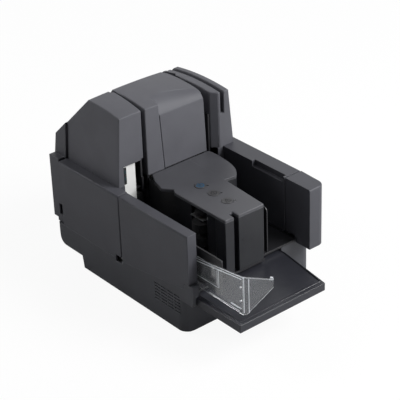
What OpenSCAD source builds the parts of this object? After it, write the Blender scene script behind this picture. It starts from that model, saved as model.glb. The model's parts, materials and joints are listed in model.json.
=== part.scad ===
// Desktop cheque scanner: slips stand on edge in the feed pocket at the left,
// pass round a U-shaped path behind the centre tower and come out in the
// eject pocket at the right. Two covers swing open about upright hinges.
// The drawing frame has X from the left face, Y from the base front, Z up.

/* [Body] */
// Width over both side faces
body_w = 216; // [212:1:224]
// Height of the side rims and of the operation deck
rim_z = 148; // [144:1:156]
// Depth of the base where it stands
foot_d = 217; // [212:1:222]
// Rear face of the rear cover, from the base front
rear_y = 283; // [281:1:290]
// Wall thickness of the plastic shells
wall = 2.5; // [2:0.1:2.8]
// Radius of the two front corners of the base, in plan
base_corner_r = 16; // [10:1:18]
// Height of the base front edge under the tray
base_front_z = 46; // [40:1:47]
// Split line between base and side panels, at its front end
split_front_z = 69; // [66:0.5:70]
// Split line between base and side panels, from the covers back
split_rear_z = 51; // [49:0.5:53]
// Underside of the base casing above the floor
base_lift = 2; // [1.5:0.1:3]
// Height of the underside where the base overhangs at the rear
overhang_z = 20; // [16:1:26]
// Radius of the rounded lower rear edge
overhang_r = 12; // [8:1:14]
// Lean of the base's rear face, in degrees
base_lean = 9; // [0:0.5:12]

/* [Towers] */
// Height of the roof crown above the floor
crown_z = 248.2; // [244:0.2:254]
// Place of the crown across the width
crown_x = 44; // [36:1:60]
// Place of the crown along the depth
crown_y = 197.5; // [192:0.5:205]
// Radius of the roof across the width
crown_rx = 670; // [600:10:760]
// Radius of the roof along the depth
crown_ry = 300; // [270:5:330]
// Front face of the towers
tower_front_y = 146; // [144:0.5:148]
// Rear end of the towers that ride on the covers
tower_rear_y = 257.4; // [254:0.2:258]
// Depth at which the rear slope starts, at the feed path
slope_y = 213.3; // [210:0.1:216]
// Turn of the rear slope about the upright, in degrees
slope_turn = 3.8; // [0:0.2:5]
// Width of the rim beside the left tower
left_rim_w = 15; // [13:0.5:17]
// Width of the rim beside the right tower
right_rim_w = 9.5; // [8:0.5:11]
// Inward lean of the left tower's outer face, in degrees
left_lean = 4.2; // [2:0.2:5]
// Inward lean of the right tower's outer face, in degrees
right_lean = 5; // [2:0.2:6]
// Inward lean of the centre tower's exit side, in degrees
centre_lean = 2.2; // [0:0.2:3]
// Width of the raised strip at the left of the centre tower, at the rims
strip_w = 28; // [20:0.5:32]
// Lean of the raised strip's right edge, in degrees
strip_lean = 3.6; // [0:0.2:5]
// Height where the centre tower's front starts to round back
facet_z = 225; // [218:0.5:228]
// Steepness of the rounding where it starts, in degrees
round_start = 70; // [60:1:80]
// Spread of the rounding, which widens to the left like a cone, in degrees
round_spread = 12.3; // [10:0.1:13]
// Distance of the cone's tip beyond the exit side of the tower
round_tip = 74; // [66:1:84]
// How much the slot beside the left tower narrows towards the rear
slot_taper = 3.6; // [0:0.2:4]
// Height of the right tower's own roof, at its left edge
right_crown_z = 232; // [228:0.5:234]
// Place of the right tower's crown along the depth
right_crown_y = 188; // [182:1:196]
// Radius of the right tower's roof along the depth
right_crown_r = 365; // [320:5:420]
// Fall of the right tower's roof towards its side, in degrees
right_fall = 2; // [0:0.5:3]
// How far the right tower stands behind the rear slope
right_proud = 3; // [0:0.5:4]
// Lean of the rear cover's upper rear face, in degrees
rear_lean = 4.5; // [0:0.5:6]
// Height of the feed inlet's upper lip above the pocket floor
inlet_h = 108; // [100:1:110]
// Depth of the flare at the exit side of the right tower
flare_d = 8.5; // [5:0.5:9]

/* [Slip path] */
// Height of the pocket floor
floor_z = 66; // [65:0.5:68]
// Centre line of the path on the feed side, from the left face
path_x = 60; // [59:0.5:61]
// Radius of the path's turn, on its centre line
turn_r = 53.5; // [53:0.5:54]
// Depth at which the turn starts
turn_y = 205; // [203:0.5:206]
// Width of the path between its guides
path_w = 6; // [5.6:0.1:6.4]
// Running gap between a drive roller and its pinch roller
nip_gap = 0.8; // [0.6:0.05:1]
// Width of the card slot
card_slot_w = 5.8; // [4.8:0.1:6.2]
// Place of the card slot, from the right face
card_slot_in = 28; // [26:0.5:29]
// Depth of the card slot's floor
card_slot_z = 197; // [190:1:204]

/* [Pockets and nose] */
// Width of the right arm
arm_w = 28; // [26:0.5:30]
// Overhang of the right arm in front of the base
arm_front = 26; // [15:1:35]
// Front end of the swinging part of the right arm
arm_seam_y = 21; // [18:0.5:26]
// Gap between the covers and the fixed panels
seam = 1.8; // [1.6:0.1:2.2]
// Rear end of the fixed feed side panel
feed_seam_y = 128; // [124:0.5:129]
// Overhang of the feed side panel in front of the base
feed_front = 8; // [5:0.5:10]
// Overhang of the nose and deck in front of the base
nose_front = 10; // [7:0.5:12]
// Left edge of the deck over the feed pocket
deck_left_x = 60; // [59:0.5:61]
// Right edge of the deck over the eject pocket
deck_right_x = 127; // [124:0.5:129]
// Thickness of the deck panel
deck_t = 4.5; // [4:0.1:5]
// Dip of the deck's right wing towards the front, in degrees
wing_dip = 1.1; // [0:0.1:1.4]
// Width of the upright slot in the nose front
nose_slot_w = 8; // [6:0.5:9]
// Depth of the upright slot in the nose front
nose_slot_d = 11; // [8:0.5:13]
// Depth of the recess under the deck's left edge
recess_d = 8; // [5:0.5:9]
// Diameter of the keys
key_d = 15.4; // [12:0.2:15.6]
// Spacing of the keys along the deck
key_pitch = 26.5; // [22:0.5:27]
// Travel of a key
key_travel = 1.2; // [0.8:0.1:1.3]
// Diameter of a signal lamp
lamp_d = 2.8; // [2:0.2:4]

/* [Tray and guide] */
// Height of the tray's rim
tray_z = 60; // [59.5:0.1:60.2]
// Thickness of the tray
tray_t = 11; // [9:0.5:11.2]
// Reach of the tray in front of the base when pulled out
tray_reach = 96; // [80:1:105]
// Left edge of the tray
tray_left_x = 7; // [6.8:0.1:9]
// Width of the tray at its front
tray_front_w = 141; // [130:1:145]
// Width of the tray at its root
tray_root_w = 154; // [148:1:156]
// Length of the tray's root that stays inside
tray_root = 40; // [30:1:44]
// Width of the raised band round the tray
tray_band = 9; // [6:0.5:12]
// Reach of the clear guide in front of the base
guide_reach = 88; // [75:1:92]
// Thickness of the clear guide
guide_t = 2.4; // [2:0.1:2.6]
// Height of the clear guide at its front, above the floor
guide_h = 54; // [46:1:60]
// Length of the clear guide's flared wing
wing_l = 37; // [28:1:40]
// Flare of the wing, in degrees
wing_angle = 45; // [35:1:50]
// Travel of the clear guide
guide_travel = 36; // [20:1:38]
// Length of the pressure plate
press_l = 170; // [150:1:172]
// Height of the pressure plate
press_h = 48; // [40:1:52]

/* [Drive] */
// Radius of the drive rollers
drive_r = 9; // [8.5:0.1:9.5]
// Radius of the pinch rollers
pinch_r = 8; // [7.8:0.1:8.2]
// Radius of the pick roller
pick_r = 12; // [11.4:0.1:12.4]
// Radius of the roller shafts
shaft_r = 3; // [2.6:0.1:3.4]
// Running clearance of shafts and pins, on the radius
run_fit = 0.05; // [0.02:0.01:0.1]
// Height of one tyre
tyre_h = 12; // [8:0.5:12]
// Radius of the belt pulleys
pulley_r = 8; // [7:0.1:8.4]
// Thickness of the drive belt
belt_t = 1.5; // [1:0.1:1.8]
// Width of the motor body
motor_w = 42; // [36:1:42]

/* [Fasteners and feet] */
// Diameter of a foot
foot_dia = 16; // [12:1:20]
// Radius of a screw's shank
screw_r = 1.4; // [1.2:0.1:1.5]
// Radius of a cover's hinge pin
pin_r = 1.8; // [1.5:0.1:2]
// Rows of vent slots on the left face
vent_rows = 6; // [3:1:6]
// Columns of vent slots on the left face
vent_cols = 4; // [2:1:4]

/* [Hidden] */
$fn = 64;
eps = 0.1;
far = 600;
gap = 0.3;
side_gap = 0.5;

// Step and seam between the raised strip and the front beside it
strip_step = 1;
seam_w = 1.4;
seam_d = 1.2;
round_reach = 0.88;

// Places that follow from the sizes above
inner_left_x = path_x + path_w / 2;
outer_left_x = path_x - path_w / 2;
exit_x = path_x + 2 * turn_r;
inner_right_x = exit_x - path_w / 2;
outer_right_x = exit_x + path_w / 2;
turn_x = path_x + turn_r;
inner_turn_r = turn_r - path_w / 2;
outer_turn_r = turn_r + path_w / 2;
right_tower_x = body_w - right_rim_w;
arm_x = body_w - arm_w;
arm_corner_r = 12;
inlet_z = floor_z + inlet_h;
cover_front_y = feed_seam_y + seam;
rear_gap = 0.8;
cover_rear_y = tower_rear_y + rear_gap;
strip_y = cover_rear_y + 3.8;
strip_in = 3;
rear_in = 12;
step_h = 5;
step_back = 3;
tower_in = 12.2;
tower_back = 0.2;
hinge_in = 9.5;
hinge_y = cover_rear_y + 6.3;
hinge_r = 3.5;
rear_corner_r = 4;
guide_wall = 2;
card_x = body_w - card_slot_in;
card_head_y = 186;
card_head_d = 18;
card_head_h = 16;
nozzle_y = tower_rear_y - 37.4;
nozzle_z = 79;
nozzle_d = 8;
nozzle_h = 16;
nozzle_l = 2;
cartridge_in = 3.4;
cartridge_h = 51.5;
cartridge_front = 12;
cartridge_rear = 14;
slot_skin = 1.4;
guide_plate_in = 0.3;
right_guide_x = outer_right_x + guide_plate_in;
cover_floor_z = floor_z + side_gap;
cover_floor_t = 2.5;
shell_top_z = 275;
slope_z = crown_z - 0.5;

// Frame plates and the shafts that they carry
frame_t = 1.6;
floor_t = 3.2;
frame_z = floor_z - floor_t - frame_t;
upper_frame_z = 140;
bush_r = shaft_r + 1;
bush_h = 4;
shaft_low_z = 50;
shaft_high_z = 145;
tyre_low_z = 84;
tyre_high_z = 114;
window_gap = 1.5;
drive_left_x = path_x + nip_gap / 2 + drive_r;
drive_right_x = exit_x - nip_gap / 2 - drive_r;
pinch_left_x = path_x - nip_gap / 2 - pinch_r;
pinch_right_x = exit_x + nip_gap / 2 + pinch_r;
feed_y = 156;
transport_left_y = 203;
transport_right_y = 195;
drive_turn_y = turn_y + turn_r - nip_gap / 2 - drive_r;
pinch_turn_y = turn_y + turn_r + nip_gap / 2 + pinch_r;
pinch_shaft_r = 2;
pinch_low_z = 74;
pinch_high_z = 136;
sensor_y = 180;
sensor_d = 11;
sensor_w = 10;
sensor_top_z = floor_z + inlet_h + 2;
glass_t = 2;
head_y = 169.5;
head_d = 5;
head_h = 24;
pulley_z = 52;
pulley_h = 6;
belt_gap = 0.3;

// Nose, keys and the pick drive
key_x = 95;
key_front_y = 26;
deck_low_z = rim_z - deck_t;
key_rise = 0.5;
lamp_side = 7;
lamp_ahead = 5;
wing_in = 3;
wing_front_y = 69.5;
deck_land = 12;
nose_turn_y = 45;
key_lip = 1.3;
key_lip_t = 1.7;
key_hole_gap = 0.3;
key_stem_r = 2.5;
board_t = 1.6;
key_board_z = 135.4;
key_stem_z = key_board_z + board_t + key_travel + gap;
nose_wall_x = deck_left_x + recess_d;
plinth_z = 80;
pick_x = deck_left_x - 1 + pick_r;
pick_y = 50;
pick_tyre_low_z = 86;
pick_tyre_high_z = 106;
pick_pulley_r = 6.5;
pick_belt_z = 128.5;
pick_belt_h = 5;
pick_motor_x = 100;
pick_bore_d = 8;
pick_bracket_w = 24;
pick_motor_r = 13;
pick_motor_low_z = 84;
pick_bracket_z = 124.5;
pick_window_y0 = pick_y - pick_r - 3;
pick_window_y1 = pick_y + pick_r + 3;

// Motor under the centre tower
motor_low_z = 8;
motor_high_z = 44;
motor_plate_t = 2;
motor_axle_r = 2.5;

// Feed pocket
guide_x = 18.4;
guide_low_z = floor_z + side_gap;
guide_rear_y = 49;
guide_rear_h = 38;
guide_wall_h = 40;
stud_r = 2.6;
stud_y = 41;
stud_low_z = 76;
stud_high_z = 98;
press_x = guide_x + guide_t + 1.3;
press_t = 2.4;
press_hinge_y = 124;
press_pin_r = 1.5;
press_low_z = floor_z + 8;
gate_x0 = 27;
gate_x1 = 45;
gate_y = tower_front_y + 3;
gate_t = 1.5;

// Stacker flap on the nose's right side
flap_x = deck_right_x + 5;
flap_y = 64;
flap_t = 2;
flap_low_z = 71.4;
flap_high_z = 137;
flap_front_y = -7;
flap_knuckle_r = 2.4;
flap_pin_r = 1;

// The part's frame: bottom centre of its bounding box at rest
front_y = -guide_reach - wing_l * cos(wing_angle);
origin_y = (front_y + rear_y) / 2;

// A block between two opposite corners
module block(low, high) {
  translate(low) cube(high - low);
}

// A plan rectangle with its own radius at the front and at the rear corners
module plan_rect(x0, y0, x1, y1, front_r, rear_r) {
  union() {
    translate([x0 + front_r, y0]) square([x1 - x0 - 2 * front_r, y1 - y0]);
    translate([x0, y0 + front_r]) square([x1 - x0, y1 - y0 - front_r - rear_r]);
    translate([x0 + rear_r, y1 - rear_r]) square([x1 - x0 - 2 * rear_r, rear_r]);
    translate([x0 + front_r, y0 + front_r]) circle(front_r);
    translate([x1 - front_r, y0 + front_r]) circle(front_r);
    translate([x0 + rear_r, y1 - rear_r]) circle(rear_r);
    translate([x1 - rear_r, y1 - rear_r]) circle(rear_r);
  }
}

// A shape drawn in (Y, Z) and carried along X
module along_x(x0, x1) {
  translate([x0, 0, 0]) rotate([90, 0, 90]) linear_extrude(x1 - x0) children();
}

// Moves from the drawing frame to the part's frame
module placed() {
  translate([-body_w / 2, -origin_y, 0]) children();
}

// Everything under the roof's crown, lowered by drop
module under_crown(drop = 0) {
  ring_r = crown_rx - crown_ry;
  translate([crown_x, crown_y, crown_z - crown_rx]) rotate([-90, 0, 0])
    rotate_extrude($fn = 128) intersection() {
      translate([ring_r, 0]) circle(crown_ry - drop);
      translate([ring_r, -crown_ry]) square([crown_ry, 2 * crown_ry]);
    }
}

// Everything under the rear slope, lowered by drop
module under_slope(drop = 0) {
  translate([path_x, slope_y, slope_z]) rotate([0, 0, slope_turn]) rotate([-45, 0, 0])
    translate([-far / 2, -far / 2, -far]) cube([far, far, far - drop]);
}

// A tower: a plan outline raised to the roof and the rear slope
module under_roof(low_z, drop = 0) {
  intersection() {
    translate([0, 0, low_z]) linear_extrude(shell_top_z - low_z) children();
    under_crown(drop);
    under_slope(drop);
  }
}

// The right tower: the same under its own flatter roof
module under_right_roof(low_z, drop = 0) {
  intersection() {
    translate([0, 0, low_z]) linear_extrude(shell_top_z - low_z) children();
    translate([right_guide_x, right_crown_y, right_crown_z]) rotate([0, right_fall, 0])
      translate([0, 0, -right_crown_r]) rotate([0, 90, 0])
        cylinder(h = far, r = right_crown_r - drop, center = true, $fn = 360);
    translate([0, right_proud, 0]) under_slope(drop);
  }
}

// Side of the base, drawn in (Y, Z), with its walls moved in by inset
module base_side(inset) {
  lean_run = (split_rear_z - overhang_z - overhang_r) * tan(base_lean);
  corner_y = rear_y - rear_in - lean_run - overhang_r / cos(base_lean);
  back = rear_y - rear_in - inset / cos(base_lean);
  low = overhang_z + inset;
  turn_z = overhang_z + overhang_r;
  turn = overhang_r - inset;
  bottom = base_lift - eps * sign(inset);
  polygon([
    [inset, bottom], [foot_d - inset, bottom], [foot_d - inset + 2, low], [corner_y, low],
    [corner_y + turn * cos(base_lean), turn_z - turn * sin(base_lean)],
    [back, split_rear_z], [back, split_rear_z + eps * sign(inset)],
    [feed_seam_y, split_rear_z + eps * sign(inset)], [inset, split_front_z]
  ]);
  translate([corner_y, turn_z]) circle(turn);
}

module vent_slots() {
  vent_y = 11;
  vent_z = 28;
  pitch_y = 13;
  pitch_z = 4.6;
  slot_l = 11;
  slot_h = 1.9;
  for (col = [0:vent_cols - 1], row = [0:vent_rows - 1])
    block([-eps, vent_y + col * pitch_y, vent_z + row * pitch_z],
      [wall + eps, vent_y + col * pitch_y + slot_l, vent_z + row * pitch_z + slot_h]);
}

boss_in = 12;
boss_rows = [26, 112, 200];
boss_r = 4;
boss_h = 12;
plate_t = 2;
plate_gap = 0.4;

module for_bosses() {
  for (y = boss_rows, x = [boss_in, body_w - boss_in]) translate([x, y, 0]) children();
}

// Height of the split line between base and side panels
function split_at(y) = split_rear_z + max(0, feed_seam_y - y) * (split_front_z - split_rear_z) / feed_seam_y;

module base_case() {
  block_front = 15;
  block_top = split_front_z + 9;
  block_x = tray_left_x - 0.6;
  notch_l = 11.6;
  color("#2f3034") difference() {
    union() {
      difference() {
        intersection() {
          along_x(0, body_w) base_side(0);
          linear_extrude(far) plan_rect(0, 0, body_w, rear_y - rear_in, base_corner_r, rear_corner_r);
        }
        intersection() {
          along_x(wall, body_w - wall) base_side(wall);
          linear_extrude(far)
            plan_rect(wall, wall, body_w - wall, rear_y - rear_in - wall, base_corner_r - wall, 1);
        }
        block([wall, wall, split_rear_z - wall - eps], [body_w - wall, foot_d, far]);
        block([wall, foot_d - eps, overhang_z + wall + 2], [body_w - wall, strip_y + 6, far]);
        block([block_x, -eps, base_front_z], [tray_left_x + tray_root_w + 1, wall + base_corner_r, far]);
        block([tray_left_x, -eps, floor_z - floor_t], [arm_x - gap, wall + eps, far]);
      }
      along_x(0, block_x) polygon([
        [-block_front, split_rear_z - 1], [-block_front, block_top], [1, block_top], [1, split_at(1)],
        [base_corner_r + 2, split_at(base_corner_r + 2)], [base_corner_r + 2, split_rear_z - 1]
      ]);
      block([0, -block_front, tray_z + 1], [12, 1, block_top]);
      for_bosses() translate([0, 0, base_lift + plate_t]) cylinder(h = boss_h, r = boss_r);
      for (y = boss_rows) {
        block([wall - eps, y - 1, base_lift + plate_t], [boss_in, y + 1, base_lift + plate_t + boss_h]);
        block([body_w - boss_in, y - 1, base_lift + plate_t],
          [body_w - wall + eps, y + 1, base_lift + plate_t + boss_h]);
      }
    }
    vent_slots();
    for_bosses() cylinder(h = boss_h + base_lift, r = screw_r + run_fit);
    block([-eps, cover_front_y, split_rear_z - 4], [8, cover_front_y + notch_l, far]);
  }
}

module bottom_plate() {
  color("#77787c") difference() {
    translate([0, 0, base_lift]) linear_extrude(plate_t)
      plan_rect(wall + plate_gap, wall + plate_gap, body_w - wall - plate_gap,
        foot_d - wall - plate_gap, base_corner_r - wall, 1);
    for_bosses() cylinder(h = far, r = screw_r + run_fit, center = true);
  }
}

module feet() {
  foot_in = 24;
  color("#1b1b1d") for (x = [foot_in, body_w - foot_in], y = [foot_in, foot_d - foot_in])
    translate([x, y, 0]) cylinder(h = base_lift, d = foot_dia);
}

module bottom_screws() {
  head_r = 2.8;
  head_h = 1.4;
  color("#a5a6a9") for_bosses() difference() {
    union() {
      translate([0, 0, base_lift - head_h]) cylinder(h = head_h, r = head_r);
      translate([0, 0, base_lift - eps]) cylinder(h = boss_h, r = screw_r);
    }
    translate([0, 0, base_lift - head_h - eps]) cylinder(h = 1, r = 1.2, $fn = 6);
  }
}

// Feet of the main frame on the bottom plate, as [x, y]
post_r = 4;
post_in = 10;
post_rows = [138, 186];
posts = concat(
  [for (x = [post_in, body_w - post_in - 2], y = post_rows) [x, y]],
  [[arm_x + post_in, post_in + 6], [turn_x - 3.5 * post_in, feed_y + 24]]
);
frame_rear_y = strip_y - 8;
frame_corner_r = 6;

// Upright shafts that stand in the main frame, as [x, y]
frame_shafts = [
  [drive_left_x, feed_y], [drive_left_x, transport_left_y], [turn_x, drive_turn_y],
  [drive_right_x, transport_right_y], [drive_right_x, feed_y]
];

module main_frame() {
  color("#9a9b9f") difference() {
    union() {
      translate([0, 0, frame_z]) linear_extrude(frame_t)
        plan_rect(wall + side_gap, wall + side_gap, body_w - wall - side_gap, frame_rear_y,
          base_corner_r, frame_corner_r);
      for (p = posts)
        translate([p[0], p[1], base_lift + plate_t])
          cylinder(h = frame_z - base_lift - plate_t + eps, r = post_r);
    }
    for (p = frame_shafts) translate([p[0], p[1], 0]) cylinder(h = far, r = bush_r);
    translate([pick_x, pick_y, 0]) cylinder(h = far, r = bush_r);
    translate([turn_x, feed_y, 0]) cylinder(h = far, r = bush_r);
    block([0, 0, frame_z - eps], [tray_left_x, base_corner_r + 3, far]);
  }
}

module pocket_floor() {
  front_x = deck_right_x - 7;
  lap = 6;
  floor_in = 1.5;
  color("#38393d") difference() {
    translate([0, 0, floor_z - floor_t]) linear_extrude(floor_t) union() {
      translate([left_rim_w + gap, -nose_front + 1])
        square([front_x + lap - left_rim_w - gap, feed_seam_y + 15]);
      translate([front_x, -1]) square([arm_x - gap - front_x, feed_seam_y + 10]);
      translate([wall + floor_in, feed_seam_y + lap])
        square([body_w - 2 * wall - 2 * floor_in, frame_rear_y - feed_seam_y - lap]);
    }
    for (p = frame_shafts) translate([p[0], p[1], 0]) cylinder(h = far, r = bush_r);
    translate([pick_x, pick_y, 0]) cylinder(h = far, r = bush_r);
    block([left_rim_w, -nose_front, 0], [left_rim_w + 1, 0.5, far]);
  }
}

module feed_side_panel() {
  color("#45464a") difference() {
    along_x(0, left_rim_w) polygon([
      [-feed_front, split_front_z + 9 + eps], [-feed_front, rim_z], [feed_seam_y, rim_z],
      [feed_seam_y, split_rear_z + eps], [1 + eps, split_at(1) + eps], [1 + eps, split_front_z + 9 + eps]
    ]);
    along_x(wall, left_rim_w - wall) polygon([
      [-feed_front + wall, split_front_z + 12], [-feed_front + wall, rim_z - wall],
      [feed_seam_y - wall, rim_z - wall], [feed_seam_y - wall, 0], [3.5, 0], [3.5, split_front_z + 12]
    ]);
    block([wall, 0, 0], [left_rim_w + eps, feed_seam_y + eps, floor_z - floor_t + eps]);
  }
}

module arm_front_panel() {
  end_y = arm_seam_y - seam / 2 - 0.5;
  low_z = tray_z;
  color("#45464a") difference() {
    intersection() {
      along_x(arm_x, body_w) polygon([
        [-arm_front, low_z], [-arm_front, rim_z], [end_y, rim_z],
        [end_y, split_front_z], [-gap, split_front_z + eps], [-gap, low_z]
      ]);
      linear_extrude(far) union() {
        plan_rect(arm_x, -arm_front, body_w, end_y, arm_corner_r, 0.01);
        translate([arm_x, -arm_front]) square([arm_w - arm_corner_r, arm_front + end_y]);
      }
    }
    intersection() {
      along_x(arm_x + wall, body_w - wall) polygon([
        [-arm_front + wall, low_z + wall], [-arm_front + wall, rim_z - wall], [end_y - wall, rim_z - wall],
        [end_y - wall, 0], [gap, 0], [gap, low_z + wall]
      ]);
      linear_extrude(far)
        plan_rect(arm_x + wall, -arm_front + wall, body_w - wall, end_y, arm_corner_r - wall, 0.01);
    }
  }
}

module tray_rails() {
  rail_y0 = 20;
  rail_y1 = 118;
  lip_z = tray_z - tray_t - 0.4;
  lip_t = 2.4;
  lip_w = 11;
  right_x = tray_left_x + tray_root_w + 0.8;
  color("#2b2c30") union() {
    block([wall + side_gap, rail_y0, lip_z - lip_t], [tray_left_x - 0.6, rail_y1, frame_z]);
    block([wall + side_gap, rail_y0, lip_z - lip_t], [wall + side_gap + lip_w, rail_y1, lip_z]);
  }
  color("#2b2c30") union() {
    block([right_x, rail_y0, lip_z - lip_t], [right_x + 2.6, rail_y1, frame_z]);
    block([right_x - lip_w, rail_y0, lip_z - lip_t], [right_x + 2.6, rail_y1, lip_z]);
  }
}

// Spacer bars and headed studs on the feed side panel that carry the clear guide
module guide_rail() {
  color("#2b2c30") for (z = [stud_low_z, stud_high_z]) {
    difference() {
      block([left_rim_w, 12, z - 4], [guide_x - gap, feed_seam_y - 8, z + 4]);
      translate([left_rim_w, stud_y, z]) rotate([0, 90, 0]) cylinder(h = far, r = 1, center = true);
    }
    translate([guide_x - gap, stud_y, z]) rotate([0, 90, 0])
      cylinder(h = guide_t + 2 * gap, r = stud_r - 0.3);
    translate([guide_x + guide_t + gap, stud_y, z]) rotate([0, 90, 0]) cylinder(h = 0.6, r = stud_r + 1);
  }
}

// A curve from a to c that bends towards b
function bend(a, b, c, steps = 10) =
  [for (i = [0:steps]) let (t = i / steps) (1 - t) * (1 - t) * a + 2 * t * (1 - t) * b + t * t * c];

wing_mid = [exit_x - 1.6, tower_front_y - 40];
wing_curve = concat(
  bend([exit_x - 19, wing_front_y], [exit_x - 4, wing_front_y + 14.5], wing_mid),
  bend(wing_mid, [exit_x + 2.5, tower_front_y - 6], [inner_right_x, tower_front_y], 6)
);

// Plan of the operation deck
module deck_plan() {
  slot_x = deck_left_x + 14;
  polygon(concat(
    [[deck_left_x, -nose_front], [slot_x, -nose_front], [slot_x, nose_slot_d - nose_front],
     [slot_x + nose_slot_w, nose_slot_d - nose_front], [slot_x + nose_slot_w, -nose_front],
     [deck_right_x - 4, -nose_front - 1], [deck_right_x, nose_turn_y],
       [deck_right_x + 2, wing_front_y + 2.5]],
    wing_curve,
    [[inner_left_x + 6, tower_front_y], [path_x, tower_front_y - 17], [path_x - 6, tower_front_y - 38],
     [deck_left_x + 4, tower_front_y - 51], [deck_left_x, tower_front_y - 58]]
  ));
}

// Plan of the nose casing, with its left wall at wall_x
module nose_plan(wall_x) {
  slot_x = deck_left_x + 14;
  polygon(concat(
    [[deck_left_x, -nose_front], [slot_x, -nose_front], [slot_x, nose_slot_d - nose_front],
     [slot_x + nose_slot_w, nose_slot_d - nose_front], [slot_x + nose_slot_w, -nose_front],
     [deck_right_x - 4, -nose_front - 1], [deck_right_x, nose_turn_y],
       [deck_right_x + 2, wing_front_y + 2.5]],
    wing_curve,
    [[inner_left_x + gap, tower_front_y], [wall_x, tower_front_y - 20], [wall_x, nose_slot_d + 2],
     [deck_left_x, nose_slot_d - 2]]
  ));
}

module nose_case() {
  ear_y = flap_y - 3;
  color("#38393d") difference() {
    union() {
      translate([0, 0, floor_z]) linear_extrude(plinth_z - floor_z) nose_plan(deck_left_x + 3);
      translate([0, 0, plinth_z - eps]) linear_extrude(deck_low_z - plinth_z + eps) nose_plan(nose_wall_x);
      for (z = [[flap_low_z - 4.4, flap_low_z - 0.4], [flap_high_z + 0.4, flap_high_z + 4.4]])
        block([deck_right_x - 1, ear_y, z[0]], [flap_x + 2.4, ear_y + 6, z[1]]);
    }
    translate([0, 0, floor_z - eps]) linear_extrude(plinth_z - floor_z - wall)
      offset(delta = -wall) nose_plan(deck_left_x + 3);
    translate([0, 0, floor_z + 8]) linear_extrude(far) offset(delta = -wall) nose_plan(nose_wall_x);
    block([deck_left_x - eps, pick_window_y0, plinth_z],
      [nose_wall_x + wall + eps, pick_window_y1, deck_low_z - 4]);
    translate([pick_x, pick_y, 0]) cylinder(h = far, r = shaft_r + 1);
    translate([flap_x, flap_y, 0]) cylinder(h = far, r = flap_pin_r);
  }
}

key_rows = [key_front_y, key_front_y + key_pitch, key_front_y + 2 * key_pitch];
lamp_spots = [for (y = key_rows) [key_x + lamp_side + lamp_d / 4, y - lamp_ahead - lamp_d / 4]];

module deck_panel() {
  color("#5b5b5e") difference() {
    translate([0, 0, deck_low_z]) linear_extrude(deck_t) deck_plan();
    for (y = key_rows) translate([key_x, y, 0]) cylinder(h = far, d = key_d + 2 * key_hole_gap);
    for (p = lamp_spots) translate([p[0], p[1], 0]) cylinder(h = far, d = lamp_d);
    translate([deck_right_x + wing_in, tower_front_y, rim_z]) rotate([wing_dip, 0, 0]) translate([0, -far, 0])
      cube([far, far, far]);
    translate([0, 0, deck_low_z - eps]) linear_extrude(deck_t - wall + eps) difference() {
      offset(delta = -wall - 0.5) deck_plan();
      translate([path_x, tower_front_y - deck_land]) square([exit_x - path_x + deck_land, far]);
    }
  }
}

module signal_lamps() {
  color("#8aa05c") for (p = lamp_spots)
    translate([p[0], p[1], key_board_z + board_t]) cylinder(h = rim_z - key_board_z - board_t, d = lamp_d);
}

// Plan of everything inside the path
module inner_plan(inset = 0) {
  union() {
    translate([inner_left_x + inset, tower_front_y + strip_step + inset])
      square([inner_right_x - inner_left_x - 2 * inset, turn_y - tower_front_y - strip_step - inset]);
    translate([turn_x, turn_y]) circle(inner_turn_r - inset);
  }
}

module exit_lean(inset = 0) {
  translate([inner_right_x - inset, 0, rim_z]) rotate([0, -centre_lean, 0]) translate([0, 0, -far / 2])
    cube([far, far, far]);
}

// Everything right of the raised strip
module strip_side(inset = 0) {
  translate([inner_left_x + strip_w + inset, 0, rim_z]) rotate([0, -strip_lean, 0])
    translate([0, 0, -far / 2])
    cube([far, far, far]);
}

// What the rounding takes off the centre tower's front: all in front of a cone that
// touches the front face along a level line and the roof behind it
module front_round(inset = 0) {
  tip_x = inner_right_x + round_tip;
  cone_h = 2 * round_tip + strip_w;
  front = tower_front_y + strip_step;
  intersection() {
    strip_side(seam_w - inset);
    difference() {
      translate([0, 0, facet_z - inset]) linear_extrude(far) polygon([
        [0, 0], [tip_x, 0], [tip_x, front], [0, front + tip_x * tan(round_spread) * round_reach]
      ]);
      translate([tip_x, front, facet_z]) rotate([round_start - 90, 0, 0]) rotate([0, 0, -round_spread])
        rotate([0, -90, 0]) translate([0, 0, inset / sin(round_spread)])
          cylinder(h = cone_h, r1 = 0, r2 = cone_h * tan(round_spread), $fn = 128);
    }
  }
}

module centre_tower_shell() {
  color("#5d5e62") difference() {
    union() {
      under_roof(rim_z) inner_plan();
      difference() {
        under_roof(rim_z) translate([inner_left_x, tower_front_y]) square([strip_w + 1, wall]);
        strip_side();
      }
    }
    difference() {
      under_roof(rim_z - 1, wall) inner_plan(wall);
      exit_lean(wall);
      front_round(wall);
    }
    exit_lean();
    front_round();
    difference() {
      intersection() {
        strip_side();
        block([0, 0, rim_z - eps], [far, tower_front_y + strip_step + seam_d, far]);
      }
      strip_side(seam_w);
    }
  }
}

// Openings in a guide for the tyres of a roller that stands at y
module tyre_windows(y, x0, x1) {
  for (z = [tyre_low_z, tyre_high_z])
    block([x0, y - drive_r - 0.5, z - window_gap], [x1, y + drive_r + 0.5, z + tyre_h + window_gap]);
}

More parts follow.
